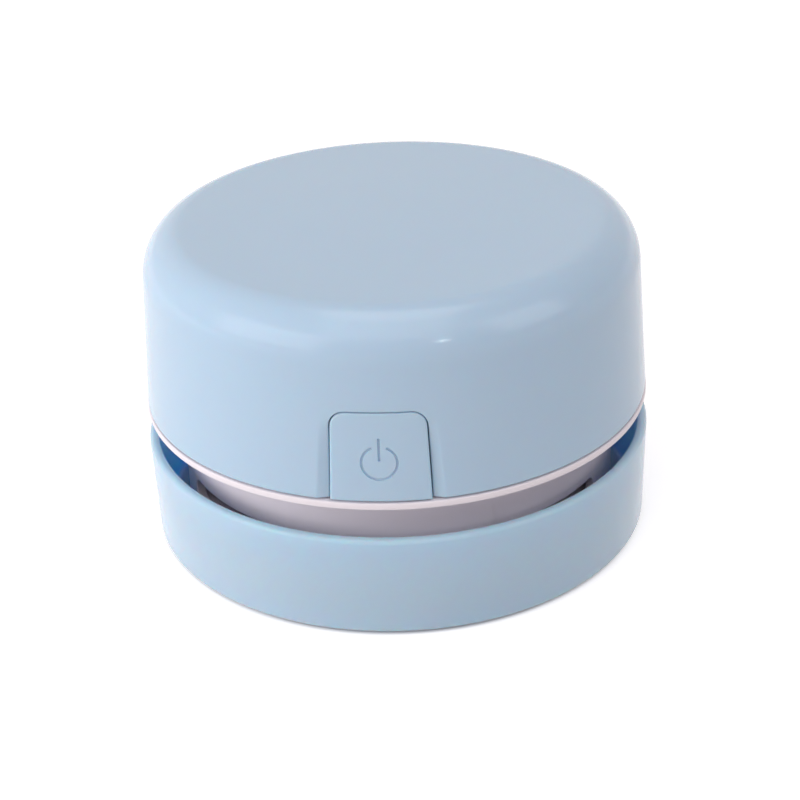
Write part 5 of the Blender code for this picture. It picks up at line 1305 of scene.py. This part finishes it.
class VACUUM_OT_battery_tray(Operator):
    """Make the white tray for two cells, with its rib, finger notches, screw holes and tab slots"""

    bl_idname = "desk_vacuum.battery_tray"
    bl_label = "Battery tray"

    def execute(self, context):
        tray = box_object("battery_holder", TRAY_LOW, TRAY_HIGH, 0.6)
        x, y = TRAY_HIGH.x - TRAY_WALL, TRAY_HIGH.y - TRAY_WALL
        cut(tray, box_object("hollow", (-x, -y, TRAY_FLOOR_TOP), (x, y, TRAY_HIGH.z + 2 * OVERRUN), 0.5))
        x, y, height = TRAY_RIB
        near = (-x, -y, TRAY_FLOOR_TOP - TRAY_FLOOR / 2)
        join(tray, box_object("rib", near, (x, y, TRAY_FLOOR_TOP + height)))
        for side in (-1, 1):
            notch = rod_object("finger_notch", 0, 0, NOTCH_RADIUS, 0, 4 * OVERRUN)
            place = (0, side * (TRAY_HIGH.y + OVERRUN) + 2 * OVERRUN, TRAY_HIGH.z + NOTCH_ABOVE)
            cut(tray, settle(notch, place, (QUARTER, 0, 0)))
        offset = middle_of("tray_screw_right").x
        drill(tray, [(-offset, 0), (offset, 0)], SCREW_HOLE_RADIUS, TRAY_LOW.z, TRAY_FLOOR_TOP)
        middle = CONTACT_FACE + CONTACT_THICKNESS / 2
        reach = Vector((CONTACT_THICKNESS / 2 + TAB_PLAY, TAB_WIDTH / 2 + FIT_GAP, 0))
        for side in (-1, 1):
            near = Vector((middle, side * CELL_OFFSET, TRAY_LOW.z - OVERRUN)) - reach
            far = Vector((middle, side * CELL_OFFSET, TRAY_FLOOR_TOP + OVERRUN)) + reach
            cut(tray, box_object("tab_slot", near, far))
        stand_for(clean(tray), "upper_body", "white_plastic", "battery_tray")
        return {"FINISHED"}


NUB_RADIUS = 2.75 * MM
CELL_SHOULDER = CELL_LENGTH - 1.0 * MM
CELL_INSET = 0.35 * MM  # the steel ends lie inside the sleeve's rolled edge
CELL_DISC = CELL_RADIUS - 1.5 * MM
CELL_SLEEVE_END = CELL_RADIUS - 1.3 * MM
CELL_STEEL = CELL_RADIUS - 1.4 * MM  # inside this radius a cell shows steel
CELL_DISH_RADIUS = CELL_RADIUS - 2.2 * MM
CELL_DISH = 0.12 * MM
CELL_BAND_START = CELL_SHOULDER - 11.0 * MM  # of the pale band at the nub's end
CELL_STEPS = 72


class VACUUM_OT_cells(Operator):
    """Turn one cell with its nub, crimp and sleeve, and lay a copy of it each way round in the tray"""

    bl_idname = "desk_vacuum.cells"
    bl_label = "Cells"

    def execute(self, context):
        first = moulded("cell_model", CELL_STEPS, [
            (0, CELL_LENGTH, 0),
            (NUB_RADIUS, CELL_LENGTH, 0.4),
            (NUB_RADIUS, CELL_SHOULDER - CELL_INSET, 0.3),
            (CELL_DISC, CELL_SHOULDER - CELL_INSET, 0.2),
            (CELL_SLEEVE_END, CELL_SHOULDER, 0.15),
            (CELL_RADIUS, CELL_SHOULDER, 0.35),
            (CELL_RADIUS, CELL_BAND_START, 0),
            (CELL_RADIUS, 0, 0.35),
            (CELL_SLEEVE_END, 0, 0.15),
            (CELL_DISC, CELL_INSET, 0.2),
            (CELL_DISH_RADIUS, CELL_DISH, 0.3),
            (0, CELL_DISH, 0),
        ], closed=False)
        for node, side in (("battery_front", -1), ("battery_back", 1)):
            middle = middle_of(node)
            place = (middle.x - side * CELL_LENGTH / 2, middle.y, middle.z)
            cell = settle(copy_of(first, f"{node}_cell"), place, (0, side * QUARTER, 0))
            stand_for(cell, "upper_body", "cell_sleeve", node)
            for finish in ("steel", "cell_band"):
                cell.data.materials.append(finish_of(finish))
            for face in cell.data.polygons:
                along, y, z = face.center - middle
                if math.hypot(y, z) < CELL_STEEL:
                    face.material_index = 1
                elif side * along + CELL_LENGTH / 2 > CELL_BAND_START:
                    face.material_index = 2
        remove(first)
        return {"FINISHED"}


SPRING_TURNS = 3
SPRING_POINTS = 28  # a turn
CELL_SPRING_WIRE = 0.35 * MM
CELL_SPRING_FOOT = 4.2 * MM
CELL_SPRING_TOP = 2.4 * MM
CONTACT_BOTTOM = low("bridge_contact").z
DIMPLE_DEPTH = 0.2 * MM
DIMPLE_ROOT = -0.1 * MM
DIMPLE_TOP = 0.8 * MM
DIMPLE_FOOT = 1.05 * MM


def coil(start_radius, end_radius):
    """Points of a coil round +X from 0 to 1."""
    points = []
    count = SPRING_TURNS * SPRING_POINTS
    for k in range(count + 1):
        share = k / count
        angle = TURN * SPRING_TURNS * share
        radius = start_radius + (end_radius - start_radius) * share
        points.append((share, radius * math.cos(angle), radius * math.sin(angle)))
    return points


class VACUUM_OT_contacts(Operator):
    """Press the contact plates with their dimples and tabs, and wind the cells' springs"""

    bl_idname = "desk_vacuum.contacts"
    bl_label = "Contacts and springs"

    def execute(self, context):
        dimple = rounded([
            (0, DIMPLE_DEPTH, 0),
            (DIMPLE_TOP, DIMPLE_DEPTH, 0.2),
            (DIMPLE_FOOT, DIMPLE_ROOT, 0),
            (0, DIMPLE_ROOT, 0),
        ], closed=False)
        for node, nub in (("bridge_contact", -1), ("negative_contact", 0), ("positive_contact", 1)):
            lowest, highest = low(node), high(node)
            near = (lowest.x, lowest.y, CONTACT_BOTTOM)
            obj = box_object(f"{node}_plate", near, highest, 0.15, 2)
            if nub:
                place = (nub * CONTACT_FACE, nub * CELL_OFFSET, CELL_AXIS)
                join(obj, settle(turned("dimple", dimple, POST_STEPS), place, (0, -nub * QUARTER, 0)))
            if node != "bridge_contact":
                start, stop = middle_of(node).y - TAB_WIDTH / 2, middle_of(node).y + TAB_WIDTH / 2
                far = (highest.x, stop, CONTACT_BOTTOM + OVERRUN)
                join(obj, box_object("tab", (lowest.x, start, lowest.z), far, 0.12, 2))
            stand_for(clean(obj), "upper_body", "steel", node)
        room = CONTACT_FACE - FIT_GAP - CELL_SPRING_WIRE
        for node, side in (("battery_spring_front", 1), ("battery_spring_back", -1)):
            depth = high(node).x - low(node).x - 2 * CELL_SPRING_WIRE
            points = [
                (side * (room - depth * share), -side * CELL_OFFSET + y, CELL_AXIS + z)
                for share, y, z in coil(CELL_SPRING_FOOT, CELL_SPRING_TOP)
            ]
            stand_for(tubes(f"{node}_coil", [points], CELL_SPRING_WIRE), "upper_body", "steel", node)
        return {"FINISHED"}


BOARD_LOW, BOARD_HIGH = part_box("switch_board")
SWITCH_LOW, SWITCH_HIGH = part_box("switch_body")
PARTING_TOP = SWITCH_HIGH.z - 1.4 * MM
PARTING_SIZE = 0.2 * MM
SOLDER_RADIUS = 0.75 * MM
SOLDER_HEIGHT = 0.45 * MM
SOLDER_EDGE = 0.1 * MM
SOLDER_STEPS = 20
PIN_INSET = 1.2 * MM
PIN_ROWS = (SWITCH_HIGH.y - 1.0 * MM, SWITCH_HIGH.y - 4.0 * MM)


def button_joint():
    return next(joint for joint in frame["record"]["behaviour"]["joints"] if joint["name"] == "button_press")


class VACUUM_OT_switch(Operator):
    """Make the green board with its solder joints, and the push switch with its plunger"""

    bl_idname = "desk_vacuum.switch"
    bl_label = "Switch and board"

    def execute(self, context):
        board = box_object("board_plate", BOARD_LOW, BOARD_HIGH, 0.1, 2)
        x, y, height = middle_of("board_screw_right")
        drill(board, [(-x, y), (x, y)], SCREW_HOLE_RADIUS, BOARD_LOW.z, BOARD_HIGH.z)
        stand_for(clean(board), "upper_body", "board", "switch_board")

        body = box_object("switch_case", SWITCH_LOW, SWITCH_HIGH, 0.25)
        plunger_low, plunger_high = low("switch_plunger"), high("switch_plunger")
        room = Vector((FIT_GAP, FIT_GAP, FIT_GAP))
        travel = Vector((0, button_joint()["range_m"][1], 0))
        cut(body, box_object("plunger_hole", plunger_low - room, plunger_high + room + travel))
        for side in (-1, 1):
            face = side * SWITCH_HIGH.x
            near = (face - PARTING_SIZE, SWITCH_LOW.y - OVERRUN, PARTING_TOP - PARTING_SIZE)
            far = (face + PARTING_SIZE, SWITCH_HIGH.y + OVERRUN, PARTING_TOP)
            cut(body, box_object("parting_line", near, far))
        stand_for(clean(body), "upper_body", "black_plastic", "switch_body")

        plunger = box_object("plunger_block", plunger_low, plunger_high, 0.3)
        stand_for(clean(plunger), "plunger", "white_plastic", "switch_plunger")

        first = moulded("bead", SOLDER_STEPS, [
            (0, SOLDER_HEIGHT, 0),
            (SOLDER_RADIUS, SOLDER_EDGE, 0.3),
            (SOLDER_RADIUS, 0, 0),
            (0, 0, 0),
        ], closed=False)
        reach = SWITCH_HIGH.x - PIN_INSET
        places = [(side * reach, row, BOARD_LOW.z) for side in (-1, 1) for row in PIN_ROWS]
        beads = [settle(copy_of(first, "bead_copy"), place, (TURN / 2, 0, 0)) for place in places]
        remove(first)
        stand_for(merged("solder_joints", beads), "upper_body", "steel")
        return {"FINISHED"}


GUIDE_LOW, GUIDE_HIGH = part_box("button_guide")
GUIDE_BACK = GUIDE_LOW.y + 1.5 * MM
GUIDE_MIDDLE = (GUIDE_LOW.y + GUIDE_BACK) / 2
GUIDE_FOOT_TOP = GUIDE_LOW.z + 1.2 * MM
GUIDE_BORE = STEM_RADIUS + 0.05 * MM
CLIP_LOW, CLIP_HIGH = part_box("button_clip")
CLIP_THICKNESS = CLIP_HIGH.y - CLIP_LOW.y
CLIP_GAP_HALF = GUIDE_BORE * 0.75
CLIP_STEPS = 64
BUTTON_SPRING_WIRE = 0.25 * MM
BUTTON_SPRING_RADIUS = 3.0 * MM


class VACUUM_OT_button_works(Operator):
    """Make the button's guide, its retaining clip and the spring that pushes it out"""

    bl_idname = "desk_vacuum.button_works"
    bl_label = "Button guide, clip and spring"

    def execute(self, context):
        guide = box_object("guide_plate", GUIDE_LOW, (GUIDE_HIGH.x, GUIDE_BACK, GUIDE_HIGH.z), 0.3)
        near = (GUIDE_LOW.x, GUIDE_MIDDLE, GUIDE_LOW.z)
        join(guide, box_object("guide_foot", near, (GUIDE_HIGH.x, GUIDE_HIGH.y, GUIDE_FOOT_TOP), 0.2))
        x, y, height = middle_of("guide_screw_right")
        drill(guide, [(-x, y), (x, y)], SCREW_HOLE_RADIUS, GUIDE_LOW.z, GUIDE_FOOT_TOP)
        bore = rod_object("bore", 0, 0, GUIDE_BORE, -2 * OVERRUN, 2 * OVERRUN)
        cut(guide, settle(bore, (0, GUIDE_MIDDLE, STEM_HEIGHT), (QUARTER, 0, 0)))
        stand_for(clean(guide), "upper_body", "white_plastic", "button_guide")

        clip = moulded("button_clip_ring", CLIP_STEPS, [
            (GUIDE_BORE, CLIP_THICKNESS, 0.08),
            (CLIP_HIGH.x, CLIP_THICKNESS, 0.15),
            (CLIP_HIGH.x, 0, 0.15),
            (GUIDE_BORE, 0, 0.08),
        ])
        settle(clip, (0, CLIP_HIGH.y, STEM_HEIGHT), (QUARTER, 0, 0))
        near = (-CLIP_GAP_HALF, CLIP_LOW.y - OVERRUN, STEM_HEIGHT)
        far = (CLIP_GAP_HALF, CLIP_HIGH.y + OVERRUN, STEM_HEIGHT + CLIP_HIGH.x + OVERRUN)
        cut(clip, box_object("clip_gap", near, far))
        stand_for(clean(clip), "button", "steel", "button_clip")

        lowest, highest = low("button_spring"), high("button_spring")
        depth = highest.y - lowest.y - 2 * BUTTON_SPRING_WIRE
        points = [
            (y, lowest.y + BUTTON_SPRING_WIRE + depth * share, STEM_HEIGHT + z)
            for share, y, z in coil(BUTTON_SPRING_RADIUS, BUTTON_SPRING_RADIUS)
        ]
        spring = tubes("button_spring_coil", [points], BUTTON_SPRING_WIRE)
        stand_for(spring, "upper_body", "steel", "button_spring")
        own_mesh(spring)
        return {"FINISHED"}


LEAD_RADIUS = 0.55 * MM
LEAD_STEPS = 10  # points a span
LEAD_DROP = 2.0 * MM  # straight on from a solder point
LEAD_FINISHES = {
    "lead_black": "black_insulation", "lead_red": "red_insulation", "lead_motor": "yellow_insulation",
}
LEAD_WAYS = {  # the points between a lead's ends, in mm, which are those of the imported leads
    "lead_black": ((23.5, -7.6, 27.0), (17.5, -5.2, 28.4)),
    "lead_red": ((22.0, -16.0, 23.8), (15.0, -21.4, 26.6)),
    "lead_motor": ((-14.5, -18.5, 27.6), (-17.5, -10.0, 27.4), (-13.8, -2.6, 29.8)),
}
BLACK_NEAR_MOTOR = (12.6 * MM, -1.4 * MM)
RED_PAST_SCREW = ((7.0, 3.0, 26.0), (6.5, -6.0, 23.4))  # in mm, the first beside the tray's screw


def lead_routes():
    """The leads' points from solder point to solder point."""
    ways = {name: [Vector(point) * MM for point in points] for name, points in LEAD_WAYS.items()}
    tab_x = CONTACT_FACE + CONTACT_THICKNESS / 2
    below_tab = low("positive_contact").z - FIT_GAP
    terminal_x = high("motor_terminal_right").x + FIT_GAP
    terminal_z = (MOTOR_TOP + high("motor_terminal_left").z + FIT_GAP) / 2
    board_x = BOARD_HIGH.x + FIT_GAP
    board_y = middle_of("board_screw_left").y - POST_RADIUS
    board_z = (BOARD_LOW.z + BOARD_HIGH.z) / 2
    beside_screw = Vector((middle_of("tray_screw_right").x, 0, 0))

    def from_tab(side):
        return [(tab_x, side * CELL_OFFSET, below_tab - drop) for drop in (0, LEAD_DROP)]

    return {
        "lead_black": [
            *from_tab(-1), *ways["lead_black"], (*BLACK_NEAR_MOTOR, terminal_z),
            (terminal_x + MM, 0, terminal_z), (terminal_x, 0, terminal_z),
        ],
        "lead_red": [
            *from_tab(1), *(beside_screw + Vector(point) * MM for point in RED_PAST_SCREW), *ways["lead_red"],
            (board_x + LEAD_DROP, board_y, board_z), (board_x, board_y, board_z),
        ],
        "lead_motor": [
            (-board_x, board_y, board_z), (-board_x - LEAD_DROP, board_y, board_z), *ways["lead_motor"],
            (-terminal_x - MM, 0, terminal_z), (-terminal_x, 0, terminal_z),
        ],
    }


class VACUUM_OT_leads(Operator):
    """Run the three insulated leads from solder point to solder point"""

    bl_idname = "desk_vacuum.leads"
    bl_label = "Leads"

    def execute(self, context):
        for node, points in lead_routes().items():
            lead = tubes(f"{node}_wire", [smooth_route(points, LEAD_STEPS)], LEAD_RADIUS)
            stand_for(lead, "upper_body", LEAD_FINISHES[node], node)
        return {"FINISHED"}


# The underside: feet, brushes, seal and filter

FOOT_TOP = high(FEET[0]).z
FOOT_GROOVES = (2.1 * MM, 1.1 * MM)
FOOT_GROOVE_HALF = 0.2 * MM


class VACUUM_OT_feet(Operator):
    """Turn one rubber foot with rings in its sole, and copy it into each pocket"""

    bl_idname = "desk_vacuum.feet"
    bl_label = "Feet"

    def execute(self, context):
        section = [(0, FOOT_TOP, 0), (FOOT_RADIUS, FOOT_TOP, 0.15), (FOOT_RADIUS, 0, 0.4)]
        for radius in FOOT_GROOVES:
            section += [
                (radius + FOOT_GROOVE_HALF, 0, 0.06),
                (radius, 2 * FOOT_GROOVE_HALF, 0.08),
                (radius - FOOT_GROOVE_HALF, 0, 0.06),
            ]
        first = turned("foot_model", rounded([*section, (0, 0, 0)], closed=False), SMALL_STEPS)
        for node in FEET:
            x, y, height = middle_of(node)
            stand_for(settle(copy_of(first, f"{node}_pad"), (x, y, 0)), "base", "rubber", node)
        remove(first)
        return {"FINISHED"}


BRISTLE_TIP = low("brush_strip_left").z
BAR_TOP = high("brush_strip_left").z
BAR_BOTTOM = BAR_TOP - 1.1 * MM
BRISTLE_ROOT = (BAR_TOP + BAR_BOTTOM) / 2
TUFTS = 15
BRISTLES = 22  # in a tuft
BRISTLE_SIDES = 5
BRISTLE_RADIUS = 0.09 * MM
BRISTLE_TAPER = 0.7
TUFT_ROOT = 0.62 * MM
TUFT_TIP = 1.05 * MM
TUFT_ODD = (0.92, 0.08, 7)  # share, swing and beat by which the tips differ
GOLDEN_TURN = TURN * (3 - math.sqrt(5)) / 2


def tuft(name, height):
    """Bristles that root close together and fan out to their tips, on rings turned by the golden angle."""
    first = new_primitive(
        name, bpy.ops.mesh.primitive_cone_add, vertices=BRISTLE_SIDES, radius1=BRISTLE_RADIUS * BRISTLE_TAPER,
        radius2=BRISTLE_RADIUS, depth=height, end_fill_type="TRIFAN",
    )
    share_kept, swing, beat = TUFT_ODD
    made = []
    for k in range(BRISTLES):
        bristle = copy_of(first, f"{name}_bristle")
        share = math.sqrt((k + 0.5) / BRISTLES)
        root, tip = TUFT_ROOT * share, TUFT_TIP * share * (share_kept + swing * math.sin(beat * k))
        for vert in bristle.data.vertices:
            out = root if vert.co.z > 0 else tip
            vert.co.x += out * math.cos(GOLDEN_TURN * k)
            vert.co.y += out * math.sin(GOLDEN_TURN * k)
        made.append(bristle)
    remove(first)
    return merged(name, made)


class VACUUM_OT_brushes(Operator):
    """Bend a brush's bar round the intake, plant its tufts of bristles and turn it over to the other side"""

    bl_idname = "desk_vacuum.brushes"
    bl_label = "Brush strips"

    def execute(self, context):
        near, far = BRUSH_RADIUS - BRUSH_WIDTH / 2, BRUSH_RADIUS + BRUSH_WIDTH / 2
        corners = rounded([
            (near, BAR_TOP, 0.2),
            (far, BAR_TOP, 0.2),
            (far, BAR_BOTTOM, 0.3),
            (near, BAR_BOTTOM, 0.3),
        ])
        bar = arc_bar("brush_bar", corners, -QUARTER, BRUSH_HALF_ANGLE, SMALL_STEPS)
        first = tuft("tuft", BRISTLE_ROOT - BRISTLE_TIP)
        reach = BRUSH_HALF_ANGLE - TUFT_TIP / BRUSH_RADIUS
        tufts = []
        for k in range(TUFTS):
            angle = -QUARTER + reach * ((2 * k + 1) / TUFTS - 1)
            place = on_axis(angle, BRUSH_RADIUS, (BRISTLE_ROOT + BRISTLE_TIP) / 2)
            tufts.append(settle(copy_of(first, "tuft_copy"), place, (0, 0, angle + GOLDEN_TURN * k)))
        remove(first)
        left = merged("brush_left", [bar, *tufts])
        right = settle(copy_of(left, "brush_right"), lean=(0, 0, TURN / 2))
        for obj, node in ((left, "brush_strip_left"), (right, "brush_strip_right")):
            stand_for(obj, "base", "bristle", node)
        return {"FINISHED"}


FILTER_RADIUS, FILTER_BOTTOM, FILTER_TOP = extent("filter_frame")
FILTER_OPEN = FILTER_RADIUS - 3.9 * MM
FILTER_LEDGE = FILTER_OPEN + 1.5 * MM
FILTER_LEDGE_TOP = FILTER_BOTTOM + 0.5 * MM
SPOKE_HALF = 0.8 * MM
SPOKE_REACH = FILTER_OPEN + 0.7 * MM
WEAVE_RADIUS, WEAVE_LOW, WEAVE_HIGH = extent("filter_mesh")
WEAVE_PITCH = 1.0 * MM
WEAVE_WIRE = 0.11 * MM
HEM_INNER = WEAVE_RADIUS - 1.0 * MM
SEAL_RADIUS = (high("seal_ring").z - low("seal_ring").z) / 2
SEAL_CENTRE = high("seal_ring").x - SEAL_RADIUS
SEAL_STEPS = 20


def weave_routes(radius):
    """Threads both ways in a plain weave inside a circle, each over one and under the next."""
    routes = []
    middle = (WEAVE_LOW + WEAVE_HIGH) / 2
    count = int(radius / WEAVE_PITCH)
    for number in range(-count, count + 1):
        place = number * WEAVE_PITCH
        reach = math.sqrt(radius**2 - place**2)
        steps = int(reach / WEAVE_PITCH * 2)
        for across in (False, True):
            points = []
            for k in range(-steps, steps + 1):
                along = k * WEAVE_PITCH / 2
                height = middle + WEAVE_WIRE * math.cos(math.pi * (k / 2 + number + across))
                points.append((place, along, height) if across else (along, place, height))
            if len(points) > 1:
                routes.append(points)
    return routes


class VACUUM_OT_filter(Operator):
    """Turn the filter's frame with its spokes and the seal ring, and weave the filter's mesh"""

    bl_idname = "desk_vacuum.filter"
    bl_label = "Filter and seal"

    def execute(self, context):
        rim = moulded("filter_rim", PLAIN_STEPS, [
            (FILTER_LEDGE, FILTER_TOP, 0.15),
            (FILTER_RADIUS, FILTER_TOP, 0.25),
            (FILTER_RADIUS, FILTER_BOTTOM, 0.25),
            (FILTER_OPEN, FILTER_BOTTOM, 0.15),
            (FILTER_OPEN, FILTER_LEDGE_TOP, 0.15),
            (FILTER_LEDGE, FILTER_LEDGE_TOP, 0.05),
        ])
        near = (-SPOKE_REACH, -SPOKE_HALF, FILTER_BOTTOM)
        spoke = box_object("spoke", near, (SPOKE_REACH, SPOKE_HALF, FILTER_LEDGE_TOP), 0.12)
        other = settle(copy_of(spoke, "spoke_across"), lean=(0, 0, QUARTER))
        join(rim, join(spoke, other))
        stand_for(clean(rim), "base", "white_plastic", "filter_frame")

        weave = tubes("filter_weave", weave_routes(WEAVE_RADIUS - WEAVE_WIRE), WEAVE_WIRE, 0)
        hem = moulded("filter_hem", PLAIN_STEPS, [
            (HEM_INNER, WEAVE_HIGH, 0.1),
            (WEAVE_RADIUS, WEAVE_HIGH, 0.1),
            (WEAVE_RADIUS, WEAVE_LOW, 0.1),
            (HEM_INNER, WEAVE_LOW, 0.1),
        ])
        stand_for(merged("filter_weave", [weave, hem]), "base", "filter_cloth", "filter_mesh")

        points = arc((SEAL_CENTRE, SEAL_HEIGHT), SEAL_RADIUS, SEAL_RADIUS, 0, 4, SEAL_STEPS)[:-1]
        stand_for(turned("seal_band", points, PLAIN_STEPS), "base", "rubber", "seal_ring")
        return {"FINISHED"}


FRAME_FINISHES = {
    "motor_magnet": "dark_steel", "motor_bush": "brass", "armature": "dark_steel", "commutator": "copper",
    "motor_shaft": "steel",
}


class VACUUM_OT_frame_finishes(Operator):
    """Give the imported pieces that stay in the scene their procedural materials"""

    bl_idname = "desk_vacuum.frame_finishes"
    bl_label = "Finishes of the packed pieces"

    def execute(self, context):
        for node, finish in FRAME_FINISHES.items():
            frame["nodes"][node].material_slots[0].material = finish_of(finish)
        return {"FINISHED"}


# The stage

FLOOR_SIZE = 6.0
FLOOR_COLOUR = (0.8, 0.8, 0.8, 1.0)
FLOOR_ROUGHNESS = 0.9
FLOOR_GLOW = 0.52  # near the object; the lamps add the rest
GLOW_NEAR = 0.2
GLOW_FAR = 0.6  # from here on the floor is white by itself
CONTACT_GLOW = 0.12
CONTACT_INNER = RING_RIM - 1.7 * MM  # up to here the floor keeps its shadow, as a line along the ring
CONTACT_OUTER = RING_RIM - 0.9 * MM
LAMPS = {  # its power's setting: place, size and whether it leaves an image of itself in what is shiny
    "left": ((-0.68, -0.13, 0.17), (0.65, 0.35), False),  # it would whiten the top, seen from the right
    "corner": ((-0.55, -0.42, 0.3), (0.65, 0.42), True),
    "front": ((0, -0.45, 0.6), (0.6, 0.5), True),
    "glint": ((0.275, -0.597, 0.3), (0.035, 0.018), True),
    "right": ((0.55, -0.22, 0.38), (0.4, 0.4), True),
    "top": ((0, 0, 0.7), (0.4, 0.4), True),
}
AIM = Vector((0, 0, 27.87 * MM))
VIEW_SHIFT = (0.0056, -0.0513)  # of the frame's width
SENSOR_WIDTH = 36.0
CLIP_START = 10.0 * MM


def seen_directly(tree):
    """1 for rays from the camera, and for those that a shiny or clear surface sends on."""
    path = add_node(tree, "ShaderNodeLightPath").outputs
    either = calculate(tree, "MAXIMUM", path["Is Camera Ray"], path["Is Glossy Ray"])
    return calculate(tree, "MAXIMUM", either, path["Is Transmission Ray"])


def floor_material():
    """A white floor that keeps the object's shadow, and looks white to the camera and in reflections."""
    made, tree, shader = new_material("white_floor")
    values = {"Base Color": FLOOR_COLOUR, "Roughness": FLOOR_ROUGHNESS, "Specular IOR Level": 0.0}
    set_inputs(tree, shader, values)
    place = {0: object_place(tree)}
    away = add_node(tree, "ShaderNodeVectorMath", place, operation="LENGTH").outputs["Value"]
    far = spread(tree, away, FLOOR_GLOW, 1.0, GLOW_NEAR, GLOW_FAR)
    contact = spread(tree, away, CONTACT_GLOW, 1.0, CONTACT_INNER, CONTACT_OUTER)
    level = calculate(tree, "MULTIPLY", seen_directly(tree), calculate(tree, "MULTIPLY", far, contact))
    glow = add_node(tree, "ShaderNodeEmission", {"Color": WHITE, "Strength": level})
    total = add_node(tree, "ShaderNodeAddShader", {0: shader.outputs[0], 1: glow.outputs[0]})
    set_inputs(tree, tree.nodes["Material Output"], {"Surface": total.outputs[0]})
    return made


def aimed(data, place):
    """An object with this data, linked to the scene at its place and aimed at the middle of the view."""
    obj = bpy.data.objects.new(data.name, data)
    bpy.context.scene.collection.objects.link(obj)
    obj.location = place
    obj.rotation_euler = (AIM - obj.location).to_track_quat("-Z", "Y").to_euler()
    return obj


class VACUUM_OT_stage(Operator):
    """Lay the floor, light the object softly from the left and place the camera"""

    bl_idname = "desk_vacuum.stage"
    bl_label = "Stage"

    def execute(self, context):
        scene, stage = context.scene, context.scene.desk_vacuum_stage
        floor = new_primitive("floor", bpy.ops.mesh.primitive_plane_add, size=FLOOR_SIZE)
        floor.data.materials.append(floor_material())

        scene.world = scene.world or bpy.data.worlds.new("studio")
        scene.world.use_nodes = True
        tree = scene.world.node_tree
        shade = mix_colours(tree, seen_directly(tree), (*stage.ambient, 1.0), WHITE)
        set_inputs(tree, tree.nodes["Background"], {"Color": shade})

        for name, (place, size, image) in LAMPS.items():
            data = bpy.data.lights.new(f"{name}_light", "AREA")
            data.energy = getattr(stage, f"{name}_power")
            data.shape = "RECTANGLE"
            data.size, data.size_y = size
            aimed(data, place).visible_glossy = image

        data = bpy.data.cameras.new("camera")
        data.sensor_width = SENSOR_WIDTH
        data.lens = stage.lens
        data.shift_x, data.shift_y = VIEW_SHIFT
        data.clip_start = CLIP_START
        reach, rise = stage.distance * math.cos(stage.elevation), stage.distance * math.sin(stage.elevation)
        scene.camera = aimed(data, on_axis(stage.azimuth, reach, AIM.z + rise))
        look = scene.camera.rotation_euler.to_matrix()
        scene.camera.rotation_euler = (look @ Matrix.Rotation(stage.roll, 3, "Z")).to_euler()
        scene.view_settings.view_transform = "Standard"
        return {"FINISHED"}


OPERATORS = (
    VACUUM_OT_cap,
    VACUUM_OT_button,
    VACUUM_OT_chassis,
    VACUUM_OT_dust_tray,
    VACUUM_OT_deck,
    VACUUM_OT_fan,
    VACUUM_OT_motor,
    VACUUM_OT_screws,
    VACUUM_OT_battery_tray,
    VACUUM_OT_cells,
    VACUUM_OT_contacts,
    VACUUM_OT_switch,
    VACUUM_OT_button_works,
    VACUUM_OT_leads,
    VACUUM_OT_feet,
    VACUUM_OT_brushes,
    VACUUM_OT_filter,
    VACUUM_OT_frame_finishes,
    VACUUM_OT_stage,
)


class VACUUM_PT_pieces(Panel):
    """The pieces of the vacuum and its stage"""

    bl_idname = "VACUUM_PT_pieces"
    bl_label = "Desk Vacuum"
    bl_space_type = "VIEW_3D"
    bl_region_type = "UI"
    bl_category = "Desk Vacuum"

    def draw(self, context):
        for name in SETTINGS:
            settings = getattr(context.scene, name)
            box = self.layout.box()
            for field in settings.__annotations__:
                box.prop(settings, field)
        for operator in OPERATORS:
            self.layout.operator(operator.bl_idname)


def register():
    for name, settings in SETTINGS.items():
        bpy.utils.register_class(settings)
        setattr(bpy.types.Scene, name, PointerProperty(type=settings))
    for operator in OPERATORS:
        bpy.utils.register_class(operator)
    bpy.utils.register_class(VACUUM_PT_pieces)


def unregister():
    bpy.utils.unregister_class(VACUUM_PT_pieces)
    for operator in reversed(OPERATORS):
        bpy.utils.unregister_class(operator)
    for name, settings in SETTINGS.items():
        delattr(bpy.types.Scene, name)
        bpy.utils.unregister_class(settings)


def main():
    register()
    for operator in OPERATORS:
        getattr(bpy.ops.desk_vacuum, operator.bl_idname.split(".")[1])()


if __name__ == "__main__":
    main()
